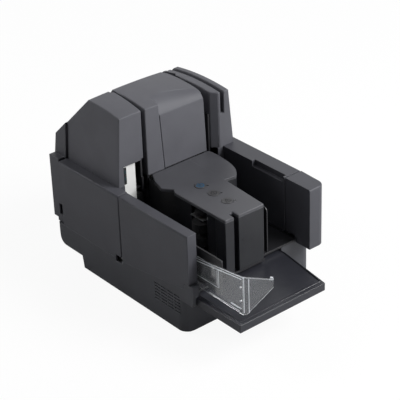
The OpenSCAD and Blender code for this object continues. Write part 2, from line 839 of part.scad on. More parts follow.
module inner_guide() {
  color("#313236") difference() {
    translate([0, 0, floor_z]) linear_extrude(rim_z - floor_z) difference() {
      inner_plan();
      inner_plan(guide_wall);
      translate([inner_left_x + 4, tower_front_y - 5]) square([inner_right_x - inner_left_x - 8, 10]);
    }
    tyre_windows(feed_y, inner_left_x - eps, inner_left_x + 4);
    tyre_windows(transport_left_y, inner_left_x - eps, inner_left_x + 4);
    tyre_windows(feed_y, inner_right_x - 4, inner_right_x + eps);
    tyre_windows(transport_right_y, inner_right_x - 4, inner_right_x + eps);
    for (z = [tyre_low_z, tyre_high_z])
      block([turn_x - drive_r, turn_y + 20, z - window_gap],
        [turn_x + drive_r, turn_y + turn_r, z + tyre_h + window_gap]);
    block([inner_left_x - eps, sensor_y + 1, floor_z + 3], [inner_left_x + 4, sensor_y + sensor_d - 1, far]);
  }
}

// Two ears that carry a pinch roller's axle, cut out of the upright bar given
module pinch_ears(x, y) {
  for (z = [pinch_low_z + 2, pinch_high_z - 5]) difference() {
    intersection() {
      children();
      block([-far, -far, z], [far, far, z + 3]);
    }
    translate([x, y, 0]) cylinder(h = far, r = pinch_shaft_r + run_fit);
  }
}

module rear_guide() {
  color("#313236") difference() {
    translate([0, 0, floor_z]) linear_extrude(rim_z - floor_z) intersection() {
      difference() {
        translate([turn_x, turn_y]) circle(outer_turn_r + 2);
        translate([turn_x, turn_y]) circle(outer_turn_r);
      }
      translate([outer_left_x + 1, turn_y + 3]) square([outer_right_x - outer_left_x - 2, 100]);
    }
    for (z = [tyre_low_z, tyre_high_z])
      block([turn_x - pinch_r - 1, turn_y + turn_r - 4, z - window_gap],
        [turn_x + pinch_r + 1, turn_y + turn_r + 12, z + tyre_h + window_gap]);
  }
  color("#313236") pinch_ears(turn_x, pinch_turn_y)
    block([turn_x - 4, turn_y + outer_turn_r + 1, 0], [turn_x + 4, pinch_turn_y + 4, far]);
}

// Plan of the rear cover above the rims, which leaves the path's turn open
module rear_plan(inset = 0) {
  shoulder = rear_gap + inset;
  difference() {
    union() {
      translate([tower_in + inset, cover_rear_y + inset])
        square([body_w - 2 * tower_in - 2 * inset, rear_y - tower_back - cover_rear_y - 2 * inset]);
      translate([outer_left_x + shoulder, turn_y + 3])
        square([outer_right_x - outer_left_x - 2 * shoulder, cover_rear_y - turn_y - inset]);
    }
    translate([turn_x, turn_y]) circle(outer_turn_r + inset);
  }
}

// What the leaning faces take off the rear cover above the rims
module rear_leans(inset = 0) {
  translate([tower_in + inset, 0, rim_z]) rotate([0, left_lean, 0]) translate([-far, 0, 0])
    cube([far, far, far]);
  translate([body_w - tower_in - inset, 0, rim_z]) rotate([0, -right_lean, 0]) cube([far, far, far]);
  translate([0, rear_y - tower_back - inset, rim_z]) rotate([rear_lean, 0, 0]) cube([far, far, far]);
}

socket_x = 56;
port_x = 84;
socket_z = 66;
knuckles = [[63, 79], [124, 140]];

module rear_cover() {
  step_z = split_rear_z + step_h;
  step_y = rear_y - rear_in + step_back;
  lug_t = 3;
  color("#3d3e42") difference() {
    union() {
      difference() {
        union() {
          translate([0, 0, step_z]) linear_extrude(rim_z + 1 - step_z)
            plan_rect(strip_in, strip_y, body_w - strip_in, rear_y, 0.01, rear_corner_r);
          translate([0, 0, split_rear_z]) linear_extrude(step_h + eps)
            plan_rect(strip_in, strip_y, body_w - strip_in, step_y, 0.01, rear_corner_r);
          difference() {
            under_roof(rim_z) rear_plan();
            rear_leans();
          }
        }
        translate([0, 0, step_z + wall]) linear_extrude(rim_z + 1 - step_z - 2 * wall)
          plan_rect(strip_in + wall, strip_y + wall, body_w - strip_in - wall, rear_y - wall, 0.01, 1);
        block([strip_in + wall, strip_y + wall, 0],
          [body_w - strip_in - wall, step_y - wall, step_z + wall + 1]);
        difference() {
          under_roof(rim_z - wall - 1, wall) rear_plan(wall);
          rear_leans(wall);
          card_slot(slot_skin);
        }
        translate([0, 0, step_z]) linear_extrude(rim_z - step_z)
          translate([40, strip_y - 10]) square([body_w - 80, 14]);
      }
      for (x = [hinge_in, body_w - hinge_in], k = knuckles, z = [k[0] - 0.4 - lug_t, k[1] + 0.4])
        block([x - 4, strip_y + 1, z], [x + 4, hinge_y + 5, z + lug_t]);
    }
    card_slot();
    block([socket_x, rear_y - 5, socket_z], [socket_x + 14, rear_y + 1, socket_z + 11]);
    block([port_x, rear_y - 5, socket_z], [port_x + 12.6, rear_y + 1, socket_z + 11.6]);
    for (x = [hinge_in, body_w - hinge_in]) {
      translate([x, hinge_y, 0]) cylinder(h = rim_z - wall, r = pin_r);
      for (k = knuckles)
        block([x - hinge_r - 1, strip_y - 1, k[0] - 0.4],
          [x + hinge_r + 1, hinge_y + hinge_r + 1, k[1] + 0.4]);
    }
    for (x = [[-eps, hinge_in], [body_w - hinge_in, body_w + eps]])
      block([x[0], strip_y - 1, knuckles[0][0] - 0.4], [x[1], hinge_y + hinge_r + 1, knuckles[0][1] + 0.4]);
  }
}

module hinge_pins() {
  cover_pin_z = knuckles[0][0] - 4;
  cover_pin_h = 86;
  ear_t = 4.4;
  color("#b6b7ba") {
    for (x = [hinge_in, body_w - hinge_in])
      translate([x, hinge_y, cover_pin_z]) cylinder(h = cover_pin_h, r = pin_r);
    translate([flap_x, flap_y, flap_low_z - ear_t])
      cylinder(h = flap_high_z - flap_low_z + 2 * ear_t, r = flap_pin_r);
    translate([press_x + press_t / 2, press_hinge_y, floor_z])
      cylinder(h = press_low_z + press_h + 1 - floor_z, r = press_pin_r);
  }
}

module upper_frame() {
  color("#9a9b9f") difference() {
    translate([0, 0, upper_frame_z]) linear_extrude(frame_t) intersection() {
      inner_plan(guide_wall + 0.1);
      translate([0, tower_front_y + 4]) square([far, far]);
    }
    for (p = frame_shafts) translate([p[0], p[1], 0]) cylinder(h = far, r = bush_r);
    block([0, sensor_y - 1, 0], [inner_left_x + 2 + sensor_w + 2, sensor_y + sensor_d + 1, far]);
  }
}

module shaft_bushes() {
  spots = concat(
    [for (p = frame_shafts) [p[0], p[1], frame_z - 1]],
    [for (p = frame_shafts) [p[0], p[1], upper_frame_z - 1]],
    [[pick_x, pick_y, frame_z - 1], [pick_x, pick_y, pick_bracket_z - 1]]
  );
  color("#b79a54") for (p = spots) translate(p) difference() {
    cylinder(h = bush_h, r = bush_r);
    translate([0, 0, -eps]) cylinder(h = bush_h + 1, r = shaft_r + run_fit);
  }
}

// The main board under the frame, the key board and the board behind the sockets
module circuit_boards() {
  x0 = 22;
  y0 = 24;
  w = 130;
  d = 84;
  z = 12;
  chip_w = 26;
  can_r = 5;
  can_h = 16;
  plug_d = 8;
  plug_h = 10;
  key_board_x = 84;
  key_board_y = 12;
  key_board_w = 37;
  key_board_d = 80;
  key_posts = [key_board_y + 4, key_board_y + key_board_d - 4];
  key_post_x = key_board_x + key_board_w - 5;
  color("#2c5a3c") {
    union() {
      block([x0, y0, z], [x0 + w, y0 + d, z + board_t]);
      for (x = [x0 + 5, x0 + w - 5], y = [y0 + 5, y0 + d - 5])
        translate([x, y, base_lift + plate_t]) cylinder(h = z - base_lift - plate_t + eps, r = 3);
      block([x0 + 2 * chip_w, y0 + chip_w, z], [x0 + 3 * chip_w, y0 + 2 * chip_w, z + 4]);
      for (i = [0:3]) translate([x0 + chip_w + i * 3 * can_r, y0 + d - 3 * can_r, z])
        cylinder(h = can_h, r = can_r);
      for (x = [x0 + can_h, x0 + w - 2 * chip_w])
        block([x, y0 + plug_h, z], [x + 3 * plug_d, y0 + plug_h + plug_d, z + plug_h]);
    }
    union() {
      block([key_board_x, key_board_y, key_board_z],
        [key_board_x + key_board_w, key_board_y + key_board_d, key_board_z + board_t]);
      for (y = key_posts) translate([key_post_x, y, key_board_z])
        cylinder(h = rim_z - wall - key_board_z, r = 2.5);
    }
    union() {
      block([socket_x - 10, rear_y - 16.6, socket_z - 6], [port_x + 16, rear_y - 15, socket_z + 26]);
      for (x = [socket_x - 6, port_x + 12])
        translate([x, rear_y - 15.1, socket_z + 20]) rotate([-90, 0, 0]) cylinder(h = 15.1 - wall, r = 3);
    }
  }
}

module power_inlet() {
  color("#1b1b1d") difference() {
    block([socket_x + 0.4, rear_y - 15, socket_z + 0.4], [socket_x + 13.6, rear_y - 0.6, socket_z + 10.6]);
    translate([socket_x + 7, rear_y + 1, socket_z + 5.5]) rotate([90, 0, 0]) cylinder(h = 10, r = 3.2);
  }
}

module data_port() {
  color("#b6b7ba") difference() {
    block([port_x + 0.4, rear_y - 15, socket_z + 0.4], [port_x + 12.2, rear_y - 0.6, socket_z + 11.2]);
    block([port_x + 1.6, rear_y - 9, socket_z + 1.6], [port_x + 11, rear_y, socket_z + 10]);
  }
}

module drive_motor() {
  half = motor_w / 2;
  color("#8d8e92") difference() {
    union() {
      block([turn_x - half, feed_y - half, motor_low_z], [turn_x + half, feed_y + half, motor_high_z]);
      block([turn_x - half - 4, feed_y - half, motor_high_z - eps],
        [turn_x + half + 4, feed_y + half, motor_high_z + motor_plate_t]);
      for (x = [turn_x - half, turn_x + half], y = [feed_y - half + 5, feed_y + half - 5])
        translate([x, y, motor_high_z]) cylinder(h = frame_z - motor_high_z, r = 3.5);
    }
    translate([turn_x, feed_y, motor_low_z + 6]) cylinder(h = far, r = motor_axle_r + run_fit);
  }
}

// Plan of a belt round the pulleys that stand at the given places
module belt_plan(spots, r) {
  difference() {
    hull() for (p = spots) translate([p[0], p[1]]) circle(r + belt_gap + belt_t, $fn = 48);
    hull() for (p = spots) translate([p[0], p[1]]) circle(r + belt_gap, $fn = 48);
  }
}

module drive_belts() {
  color("#1b1b1d") translate([0, 0, pulley_z]) linear_extrude(pulley_h) belt_plan(frame_shafts, pulley_r);
  color("#1b1b1d") translate([0, 0, pick_belt_z]) linear_extrude(pick_belt_h)
    belt_plan([[pick_x, pick_y], [pick_motor_x, pick_y]], pick_pulley_r);
}

module pick_motor() {
  color("#8d8e92") difference() {
    translate([pick_motor_x, pick_y, pick_motor_low_z])
      cylinder(h = pick_bracket_z - pick_motor_low_z, r = pick_motor_r);
    translate([pick_motor_x, pick_y, pick_motor_low_z + pick_bore_d]) cylinder(h = far, r = 1.5 + run_fit);
  }
}

module pick_bracket() {
  x1 = deck_right_x - wall - 1;
  color("#9a9b9f") difference() {
    block([nose_wall_x - 4, pick_y - pick_bracket_w / 2, pick_bracket_z],
      [x1, pick_y + pick_bracket_w / 2, pick_bracket_z + frame_t]);
    translate([pick_x, pick_y, 0]) cylinder(h = far, r = bush_r);
    translate([pick_motor_x, pick_y, 0]) cylinder(h = far, r = 3);
  }
}

module inner_sensor() {
  x0 = inner_left_x + 2;
  color("#26272a") block([x0, sensor_y, floor_z], [x0 + sensor_w, sensor_y + sensor_d, sensor_top_z - 30]);
  color("#8fa3a8") block([x0 - glass_t, sensor_y + 1.4, floor_z + 3.4],
    [x0, sensor_y + sensor_d - 1.4, rim_z - 1]);
}

// Left cover, with everything that swings with it
inlet_x = 25;
rear_post_d = 11.4;

module left_cover_panel() {
  color("#45464a") difference() {
    union() {
      block([0, cover_front_y, split_rear_z + gap], [wall, cover_rear_y, rim_z]);
      block([0, cover_front_y, cover_floor_z], [left_rim_w + 1, cover_front_y + wall, rim_z]);
      block([left_rim_w + 1 - wall, cover_front_y, cover_floor_z], [left_rim_w + 1, tower_front_y, rim_z]);
      block([0, cover_front_y, rim_z - wall], [left_rim_w + 1, cover_rear_y, rim_z]);
      block([left_rim_w + 1 - wall, tower_front_y, cover_floor_z], [inlet_x, tower_front_y + wall, rim_z]);
      block([inlet_x - wall, tower_front_y, cover_floor_z], [inlet_x, tower_front_y + 12, rim_z]);
      block([0, cover_rear_y - wall, cover_floor_z], [outer_left_x, cover_rear_y, rim_z]);
      block([0, cover_front_y, cover_floor_z], [left_rim_w + 1, cover_rear_y, cover_floor_z + cover_floor_t]);
      block([left_rim_w, tower_front_y + 3, cover_floor_z],
        [outer_left_x - wall, cover_rear_y, cover_floor_z + cover_floor_t]);
      for (k = knuckles) {
        translate([hinge_in, hinge_y, k[0]]) cylinder(h = k[1] - k[0], r = hinge_r);
        block([hinge_in - 2, cover_rear_y - 1, k[0]], [hinge_in + 2, hinge_y, k[1]]);
      }
    }
    for (k = knuckles) translate([hinge_in, hinge_y, k[0] - 1]) cylinder(h = 30, r = pin_r + run_fit);
    block([-eps, cover_front_y - eps, 0], [8, cover_front_y + 11.6, split_rear_z + 6]);
  }
}

module left_face_lean(inset = 0) {
  translate([left_rim_w + inset, 0, rim_z]) rotate([0, left_lean, 0]) translate([-far, 0, -far / 2])
    cube([far, far, far]);
}

// Plan of the left tower: its right edge leans over the path up to the roof's ridge
module left_plan(inset = 0) {
  ridge_y = turn_y + 2 - inset;
  polygon([
    [left_rim_w + inset, tower_front_y + inset], [outer_left_x - inset, tower_front_y + inset],
    [outer_left_x + slot_taper - inset, ridge_y], [outer_left_x - inset, ridge_y],
    [outer_left_x - inset, tower_rear_y - inset], [left_rim_w + inset, tower_rear_y - inset]
  ]);
}

module left_tower_shell() {
  plate_top_z = inlet_z + 2;
  color("#5d5e62") difference() {
    under_roof(rim_z) left_plan();
    difference() {
      under_roof(rim_z - 1, wall) left_plan(wall);
      left_face_lean(wall);
    }
    left_face_lean();
    block([inlet_x, tower_front_y - 1, rim_z - 1], [outer_left_x + 1, tower_front_y + wall + 1, inlet_z]);
    block([outer_left_x - wall - 1, tower_front_y - 1, rim_z - 1],
      [outer_left_x + slot_taper + 1, tower_rear_y - rear_post_d, plate_top_z]);
  }
}

module left_guide_plate() {
  color("#313236") difference() {
    block([outer_left_x - wall, tower_front_y + 2, cover_floor_z],
      [outer_left_x, cover_rear_y - wall - gap, rim_z]);
    tyre_windows(feed_y, 0, outer_left_x + 1);
    tyre_windows(transport_left_y, 0, outer_left_x + 1);
    block([0, sensor_y + 1, floor_z + 3], [outer_left_x + 1, sensor_y + sensor_d - 1, far]);
    block([0, head_y - 0.6, 0], [outer_left_x + 1, head_y + head_d + 0.6, floor_z + head_h + 6]);
  }
  color("#313236") block([outer_left_x - wall, tower_front_y + wall + 1.5, rim_z],
    [outer_left_x, tower_rear_y - rear_post_d - side_gap, inlet_z + 1.5]);
}

module left_sensor() {
  x1 = outer_left_x - wall;
  color("#26272a") block([x1 - sensor_w, sensor_y, cover_floor_z + cover_floor_t],
    [x1, sensor_y + sensor_d, rim_z - 2]);
  color("#8fa3a8") block([x1, sensor_y + 1.4, floor_z + 3.4],
    [x1 + glass_t, sensor_y + sensor_d - 1.4, rim_z - 2]);
}

module character_head() {
  color("#b6b7ba") union() {
    block([outer_left_x - 11, head_y, cover_floor_z + cover_floor_t],
      [outer_left_x - 0.6, head_y + head_d, floor_z + head_h]);
    translate([outer_left_x - 3.2, head_y + head_d / 2, cover_floor_z + cover_floor_t])
      cylinder(h = head_h - cover_floor_t - 1, r = 2.4);
  }
}

module gate_plate() {
  color("#e6e6e2") block([gate_x0, gate_y, cover_floor_z + cover_floor_t],
    [gate_x1, gate_y + gate_t, inlet_z - 1]);
}

module separation_bracket() {
  x0 = pinch_left_x - pinch_r - 3;
  y0 = tower_front_y + 5;
  y1 = feed_y + pinch_r + 2;
  color("#2b2c30") difference() {
    union() {
      block([x0, y0, cover_floor_z + cover_floor_t], [x0 + 2, y1, pinch_high_z]);
      for (z = [pinch_low_z + 1, pinch_high_z - 3])
        block([x0, y0, z], [outer_left_x - wall, y1, z + 2.5]);
    }
    translate([pinch_left_x, feed_y, 0]) cylinder(h = far, r = pinch_shaft_r + run_fit);
  }
  color("#2b2c30") pinch_ears(pinch_left_x, transport_left_y)
    block([pinch_left_x - 4, transport_left_y - 4, 0], [outer_left_x - wall, transport_left_y + 4, far]);
}

// Right cover, with everything that swings with it
module right_cover_panel() {
  y0 = arm_seam_y + seam / 2 - 0.5;
  recess_y1 = 84;
  color("#45464a") difference() {
    union() {
      along_x(body_w - wall, body_w) polygon([
        [y0, split_at(y0) + gap], [y0, rim_z], [cover_rear_y, rim_z],
        [cover_rear_y, split_rear_z + gap], [feed_seam_y, split_rear_z + gap]
      ]);
      block([arm_x, y0, cover_floor_z], [body_w, y0 + wall, rim_z]);
      block([arm_x, y0, cover_floor_z], [arm_x + wall, tower_front_y - 2, rim_z]);
      block([arm_x, y0, rim_z - wall], [body_w, tower_front_y, rim_z]);
      block([right_tower_x - wall, tower_front_y - 1, rim_z - wall], [body_w, cover_rear_y, rim_z]);
      block([right_guide_x + wall, tower_front_y + 4, cover_floor_z],
        [body_w, cover_rear_y, cover_floor_z + cover_floor_t]);
      block([right_guide_x, cover_rear_y - wall, cover_floor_z], [body_w, cover_rear_y, rim_z]);
      block([right_guide_x + flare_d, tower_front_y - 4.5, cover_floor_z],
        [arm_x + wall, tower_front_y - 2, rim_z]);
      block([arm_x, y0 + 1, rim_z - 10], [arm_x + 8, recess_y1 + 3, rim_z]);
      for (k = knuckles) {
        translate([body_w - hinge_in, hinge_y, k[0]]) cylinder(h = k[1] - k[0], r = hinge_r);
        block([body_w - hinge_in - 2, cover_rear_y - 1, k[0]], [body_w - hinge_in + 2, hinge_y, k[1]]);
      }
    }
    for (k = knuckles) translate([body_w - hinge_in, hinge_y, k[0] - 1])
      cylinder(h = 30, r = pin_r + run_fit);
    block([arm_x - eps, y0 + 3, rim_z - 8], [arm_x + 5.5, recess_y1, rim_z + eps]);
    linear_extrude(far) polygon([
      [right_guide_x, tower_front_y - 5], [right_guide_x + flare_d - eps, tower_front_y - 5],
      [right_guide_x + wall, tower_front_y + 4], [right_guide_x, tower_front_y + 4]
    ]);
  }
}

module right_lean_cut(inset = 0) {
  translate([right_tower_x - inset, 0, rim_z]) rotate([0, -right_lean, 0]) translate([0, 0, -far / 2])
    cube([far, far, far]);
}

module right_plan(inset = 0) {
  polygon([
    [right_guide_x + wall + inset, tower_front_y + 4 + inset],
    [right_guide_x + wall + flare_d + inset, tower_front_y - 4.5 + inset],
    [right_tower_x - inset, tower_front_y - 4.5 + inset], [right_tower_x - inset, tower_rear_y - inset],
    [right_guide_x + wall + inset, tower_rear_y - inset]
  ]);
}

// The card slot, widened by skin on both sides and below
module card_slot(skin = 0) {
  half = card_slot_w / 2 + skin;
  block([card_x - half, 0, card_slot_z - skin], [card_x + half, far, far]);
}

module right_tower_shell() {
  color("#5d5e62") difference() {
    under_right_roof(rim_z) right_plan();
    difference() {
      under_right_roof(rim_z - 1, wall) right_plan(wall);
      right_lean_cut(wall);
      card_slot(slot_skin);
    }
    right_lean_cut();
    card_slot();
  }
}

module right_guide_plate() {
  color("#313236") difference() {
    union() {
      block([right_guide_x, tower_front_y + 5, cover_floor_z],
        [right_guide_x + wall, cover_rear_y - wall - gap, rim_z]);
      block([right_guide_x, tower_front_y + 5, rim_z - 1],
        [right_guide_x + wall - gap, tower_rear_y - 8, card_slot_z + 1]);
    }
    tyre_windows(feed_y, right_guide_x - 1, right_guide_x + 5);
    tyre_windows(transport_right_y, right_guide_x - 1, right_guide_x + 5);
    block([right_guide_x - 1, nozzle_y - 1, nozzle_z - 1],
      [right_guide_x + 2 * wall, nozzle_y + nozzle_d + 1, nozzle_z + nozzle_h + 1]);
  }
  for (y = [feed_y, transport_right_y])
    color("#313236") pinch_ears(pinch_right_x, y)
      block([right_guide_x + wall, y - 4, 0], [pinch_right_x + 4, y + 4, far]);
}

module endorser_cartridge() {
  x0 = right_guide_x + wall + gap;
  color("#26272a") union() {
    block([x0 + nozzle_l, nozzle_y - cartridge_front, cover_floor_z + cover_floor_t],
      [right_tower_x - cartridge_in, nozzle_y + nozzle_d + cartridge_rear, cover_floor_z + cartridge_h]);
    block([x0 - 1.5, nozzle_y, nozzle_z], [x0 + nozzle_l, nozzle_y + nozzle_d, nozzle_z + nozzle_h]);
  }
}

module card_head() {
  x1 = card_x - card_slot_w / 2 - slot_skin;
  color("#b6b7ba") block([right_guide_x + 2 * wall, card_head_y, card_slot_z + 5],
    [x1, card_head_y + card_head_d, card_slot_z + 5 + card_head_h]);
}

module document_tray() {
  x0 = tray_left_x;
  x1 = x0 + tray_front_w;
  x2 = x0 + tray_root_w;
  skin = 2;
  module plan(inset = 0) {
    polygon([
      [x0 + inset, -tray_reach + inset], [x1 - inset, -tray_reach + inset],
      [x2 - inset, -9], [x2 - inset, tray_root - inset], [x0 + inset, tray_root - inset]
    ]);
  }
  color("#2f3034") difference() {
    translate([0, 0, tray_z - tray_t]) linear_extrude(tray_t) plan();
    translate([0, 0, tray_z - tray_t - eps]) linear_extrude(tray_t - skin - 1.4) plan(skin);
    translate([0, 0, tray_z - 1.2]) linear_extrude(2) polygon([
      [x0 + tray_band, -tray_reach + tray_band], [x1 - 1.5, -tray_reach + tray_band],
      [x2 - 1.5, -9], [x2 - 1.5, tray_root + 1], [x0 + tray_band, tray_root + 1]
    ]);
    translate([0, 0, tray_z - 0.6]) linear_extrude(2) polygon([
      [x0 + tray_band - 3.2, -tray_reach + tray_band - 3.2], [x1 - 1.5, -tray_reach + tray_band - 3.2],
      [x1 - 1.5, -tray_reach + tray_band - 2.2], [x0 + tray_band - 2.2, -tray_reach + tray_band - 2.2],
      [x0 + tray_band - 2.2, tray_root + 1], [x0 + tray_band - 3.2, tray_root + 1]
    ]);
  }
}

module clear_guide() {
  low = guide_low_z;
  top = floor_z + guide_h;
  color([0.85, 0.88, 0.9, 0.5]) difference() {
    union() {
      along_x(guide_x, guide_x + guide_t) polygon([
        [-guide_reach, low], [guide_rear_y, low + 2], [guide_rear_y, low + guide_rear_h],
        [12, low + guide_wall_h], [-guide_reach, top]
      ]);
      difference() {
        block([guide_x + guide_t - eps, -42, floor_z + 17], [guide_x + guide_t + 0.8, 0, floor_z + 43]);
        block([guide_x, -39.5, floor_z + 19.5], [far, -2.5, floor_z + 40.5]);
      }
      translate([guide_x, -guide_reach, 0]) rotate([0, 0, wing_angle - 90])
        translate([0, guide_t, 0]) rotate([90, 0, 0]) linear_extrude(guide_t) polygon([
          [0, low], [wing_l * 0.15, low + 1.5], [wing_l, top - 13], [wing_l, top - 2], [0, top]
        ]);
    }
    for (z = [stud_low_z, stud_high_z]) hull() {
      translate([guide_x - 1, stud_y, z]) rotate([0, 90, 0]) cylinder(h = 5, r = stud_r, $fn = 24);
      translate([guide_x - 1, stud_y - guide_travel, z]) rotate([0, 90, 0])
        cylinder(h = 5, r = stud_r, $fn = 24);
    }
    for (z = [floor_z + 19, floor_z + 38])
      translate([guide_x - 1, -guide_reach + 4, z]) rotate([0, 90, 0]) cylinder(h = 5, r = 1.1);
  }
}

module pressure_plate() {
  color("#2b2c30") difference() {
    union() {
      block([press_x, press_hinge_y - press_l, press_low_z],
        [press_x + press_t, press_hinge_y - 3, press_low_z + press_h]);
      translate([press_x + press_t / 2, press_hinge_y, press_low_z]) cylinder(h = press_h, r = 2 * press_pin_r);
      block([press_x, press_hinge_y - 4, press_low_z],
        [press_x + press_t, press_hinge_y, press_low_z + press_h]);
    }
    translate([press_x + press_t / 2, press_hinge_y, 0]) cylinder(h = far, r = press_pin_r + run_fit);
  }
}

module stacker_flap() {
  tip_r = 7;
  end_y = flap_y - flap_pin_r - 0.6;
  color("#26272a") difference() {
    union() {
      along_x(flap_x - flap_t / 2, flap_x + flap_t / 2) union() {
        translate([flap_front_y + tip_r, flap_low_z])
          square([end_y - flap_front_y - tip_r, flap_high_z - flap_low_z]);
        translate([flap_front_y, flap_low_z]) square([tip_r, flap_high_z - flap_low_z - tip_r]);
        translate([flap_front_y + tip_r, flap_high_z - tip_r]) circle(tip_r);
      }
      translate([flap_x, flap_y, flap_low_z]) cylinder(h = flap_high_z - flap_low_z, r = flap_knuckle_r);
    }
    translate([flap_x, flap_y, 0]) cylinder(h = far, r = flap_pin_r + run_fit);
  }
}

// A round key that two side tabs hold under the deck
module key(y) {
  body_z = deck_low_z - key_rise;
  tab_r = key_d / 2 + key_lip;
  color("#4a4a4c") translate([key_x, y, 0]) union() {
    translate([0, 0, body_z]) cylinder(h = rim_z + key_rise - body_z, d = key_d);
    translate([-tab_r, -2.5, body_z - key_lip_t]) cube([2 * tab_r, 5, key_lip_t + eps]);
    translate([0, 0, key_stem_z]) cylinder(h = body_z - key_stem_z, r = key_stem_r);
  }
}

module power_key() {
  key(key_rows[2]);
}

module start_key() {
  key(key_rows[1]);
}

module stop_key() {
  key(key_rows[0]);
}

module motor_pulley() {
  color("#b6b7ba") translate([turn_x, feed_y, 0]) union() {
    translate([0, 0, motor_low_z + 7]) cylinder(h = pulley_z + pulley_h - motor_low_z - 7, r = motor_axle_r);
    translate([0, 0, pulley_z]) cylinder(h = pulley_h, r = pulley_r);
  }
}

// A drive roller: shaft with its pulley, hub and two rubber tyres
module drive_roller(x, y) {
  translate([x, y, 0]) {
    color("#b6b7ba") union() {
      translate([0, 0, shaft_low_z]) cylinder(h = shaft_high_z - shaft_low_z, r = shaft_r);
      translate([0, 0, pulley_z]) cylinder(h = pulley_h, r = pulley_r);
    }
    color("#1b1b1d") for (z = [tyre_low_z, tyre_high_z]) translate([0, 0, z]) difference() {
      cylinder(h = tyre_h, r = drive_r);
      translate([0, 0, -eps]) cylinder(h = tyre_h + 1, r = shaft_r);
    }
  }
}

module feed_roller() {
  drive_roller(drive_left_x, feed_y);
}

module transport_roller_left() {
  drive_roller(drive_left_x, transport_left_y);
}

module turn_roller() {
  drive_roller(turn_x, drive_turn_y);
}

module transport_roller_right() {
  drive_roller(drive_right_x, transport_right_y);
}

module eject_roller() {
  drive_roller(drive_right_x, feed_y);
}

module pick_pulley() {
  z0 = pick_motor_low_z + 9;
  color("#b6b7ba") translate([pick_motor_x, pick_y, 0]) union() {
    translate([0, 0, z0]) cylinder(h = pick_belt_z + pick_belt_h - z0, r = 1.5);
    translate([0, 0, pick_belt_z]) cylinder(h = pick_belt_h, r = pick_pulley_r);
  }
}

module pick_roller() {
  z0 = frame_z - 1;
  translate([pick_x, pick_y, 0]) {
    color("#b6b7ba") union() {
      translate([0, 0, z0]) cylinder(h = pick_belt_z + pick_belt_h - z0, r = shaft_r);
      translate([0, 0, pick_belt_z]) cylinder(h = pick_belt_h, r = pick_pulley_r);
    }
    color("#1b1b1d") for (z = [pick_tyre_low_z, pick_tyre_high_z]) translate([0, 0, z]) difference() {
      cylinder(h = tyre_h, r = pick_r);
      translate([0, 0, -eps]) cylinder(h = tyre_h + 1, r = shaft_r);
    }
  }
}

// A pinch roller: a plain axle with two rubber tyres
module pinch_roller(x, y) {
  translate([x, y, 0]) {
    color("#b6b7ba") translate([0, 0, pinch_low_z])
      cylinder(h = pinch_high_z - pinch_low_z, r = pinch_shaft_r);
    color("#1b1b1d") for (z = [tyre_low_z, tyre_high_z]) translate([0, 0, z]) difference() {
      cylinder(h = tyre_h, r = pinch_r);
      translate([0, 0, -eps]) cylinder(h = tyre_h + 1, r = pinch_shaft_r);
    }
  }
}

module separation_roller() {
  pinch_roller(pinch_left_x, feed_y);
}

module left_pinch_roller() {
  pinch_roller(pinch_left_x, transport_left_y);
}

module turn_pinch_roller() {
  pinch_roller(turn_x, pinch_turn_y);
}

module right_pinch_roller() {
  pinch_roller(pinch_right_x, transport_right_y);
}

module eject_pinch_roller() {
  pinch_roller(pinch_right_x, feed_y);
}

placed() base_case();
placed() bottom_plate();
placed() feet();
placed() bottom_screws();
placed() main_frame();
placed() pocket_floor();
placed() feed_side_panel();
placed() arm_front_panel();
placed() tray_rails();
placed() guide_rail();
placed() nose_case();
placed() deck_panel();
placed() centre_tower_shell();
placed() inner_guide();
placed() rear_guide();
placed() rear_cover();
placed() upper_frame();
placed() shaft_bushes();
placed() circuit_boards();
placed() power_inlet();
placed() data_port();
placed() drive_motor();
placed() drive_belts();
placed() pick_motor();
placed() pick_bracket();
placed() inner_sensor();
placed() signal_lamps();
placed() hinge_pins();
placed() left_cover_panel();
placed() left_tower_shell();
placed() left_guide_plate();
placed() left_sensor();
placed() character_head();
placed() gate_plate();
placed() separation_bracket();
placed() right_cover_panel();
placed() right_tower_shell();
placed() right_guide_plate();
placed() endorser_cartridge();
placed() card_head();
placed() document_tray();
placed() clear_guide();
placed() pressure_plate();
placed() stacker_flap();
placed() power_key();
placed() start_key();
placed() stop_key();
placed() motor_pulley();
placed() pick_pulley();
placed() pick_roller();
placed() feed_roller();
placed() transport_roller_left();
placed() turn_roller();
placed() transport_roller_right();
placed() eject_roller();
placed() separation_roller();
placed() left_pinch_roller();
placed() turn_pinch_roller();
placed() right_pinch_roller();
placed() eject_pinch_roller();
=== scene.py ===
"""Desktop cheque scanner: finishes, rounded casings and small trim around its fixed frame."""

import json
import math

import bmesh
import bpy
import numpy as np
from mathutils import Matrix, Vector


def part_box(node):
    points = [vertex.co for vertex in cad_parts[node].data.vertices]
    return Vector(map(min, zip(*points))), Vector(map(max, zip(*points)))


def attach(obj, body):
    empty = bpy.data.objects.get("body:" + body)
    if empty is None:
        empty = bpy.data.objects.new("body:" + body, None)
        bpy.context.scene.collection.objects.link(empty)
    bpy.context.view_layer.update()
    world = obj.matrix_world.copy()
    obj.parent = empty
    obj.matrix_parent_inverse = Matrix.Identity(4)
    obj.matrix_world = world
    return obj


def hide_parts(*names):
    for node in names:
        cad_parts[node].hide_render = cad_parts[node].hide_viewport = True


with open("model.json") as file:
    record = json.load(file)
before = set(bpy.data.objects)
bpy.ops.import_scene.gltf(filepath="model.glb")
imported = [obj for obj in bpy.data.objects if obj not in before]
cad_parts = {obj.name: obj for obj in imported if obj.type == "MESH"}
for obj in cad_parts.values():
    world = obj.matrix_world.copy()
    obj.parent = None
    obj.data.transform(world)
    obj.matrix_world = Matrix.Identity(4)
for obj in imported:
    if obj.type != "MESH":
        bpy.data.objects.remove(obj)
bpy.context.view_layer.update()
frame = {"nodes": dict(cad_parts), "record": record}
NODES = frame["nodes"]
MM = 0.001

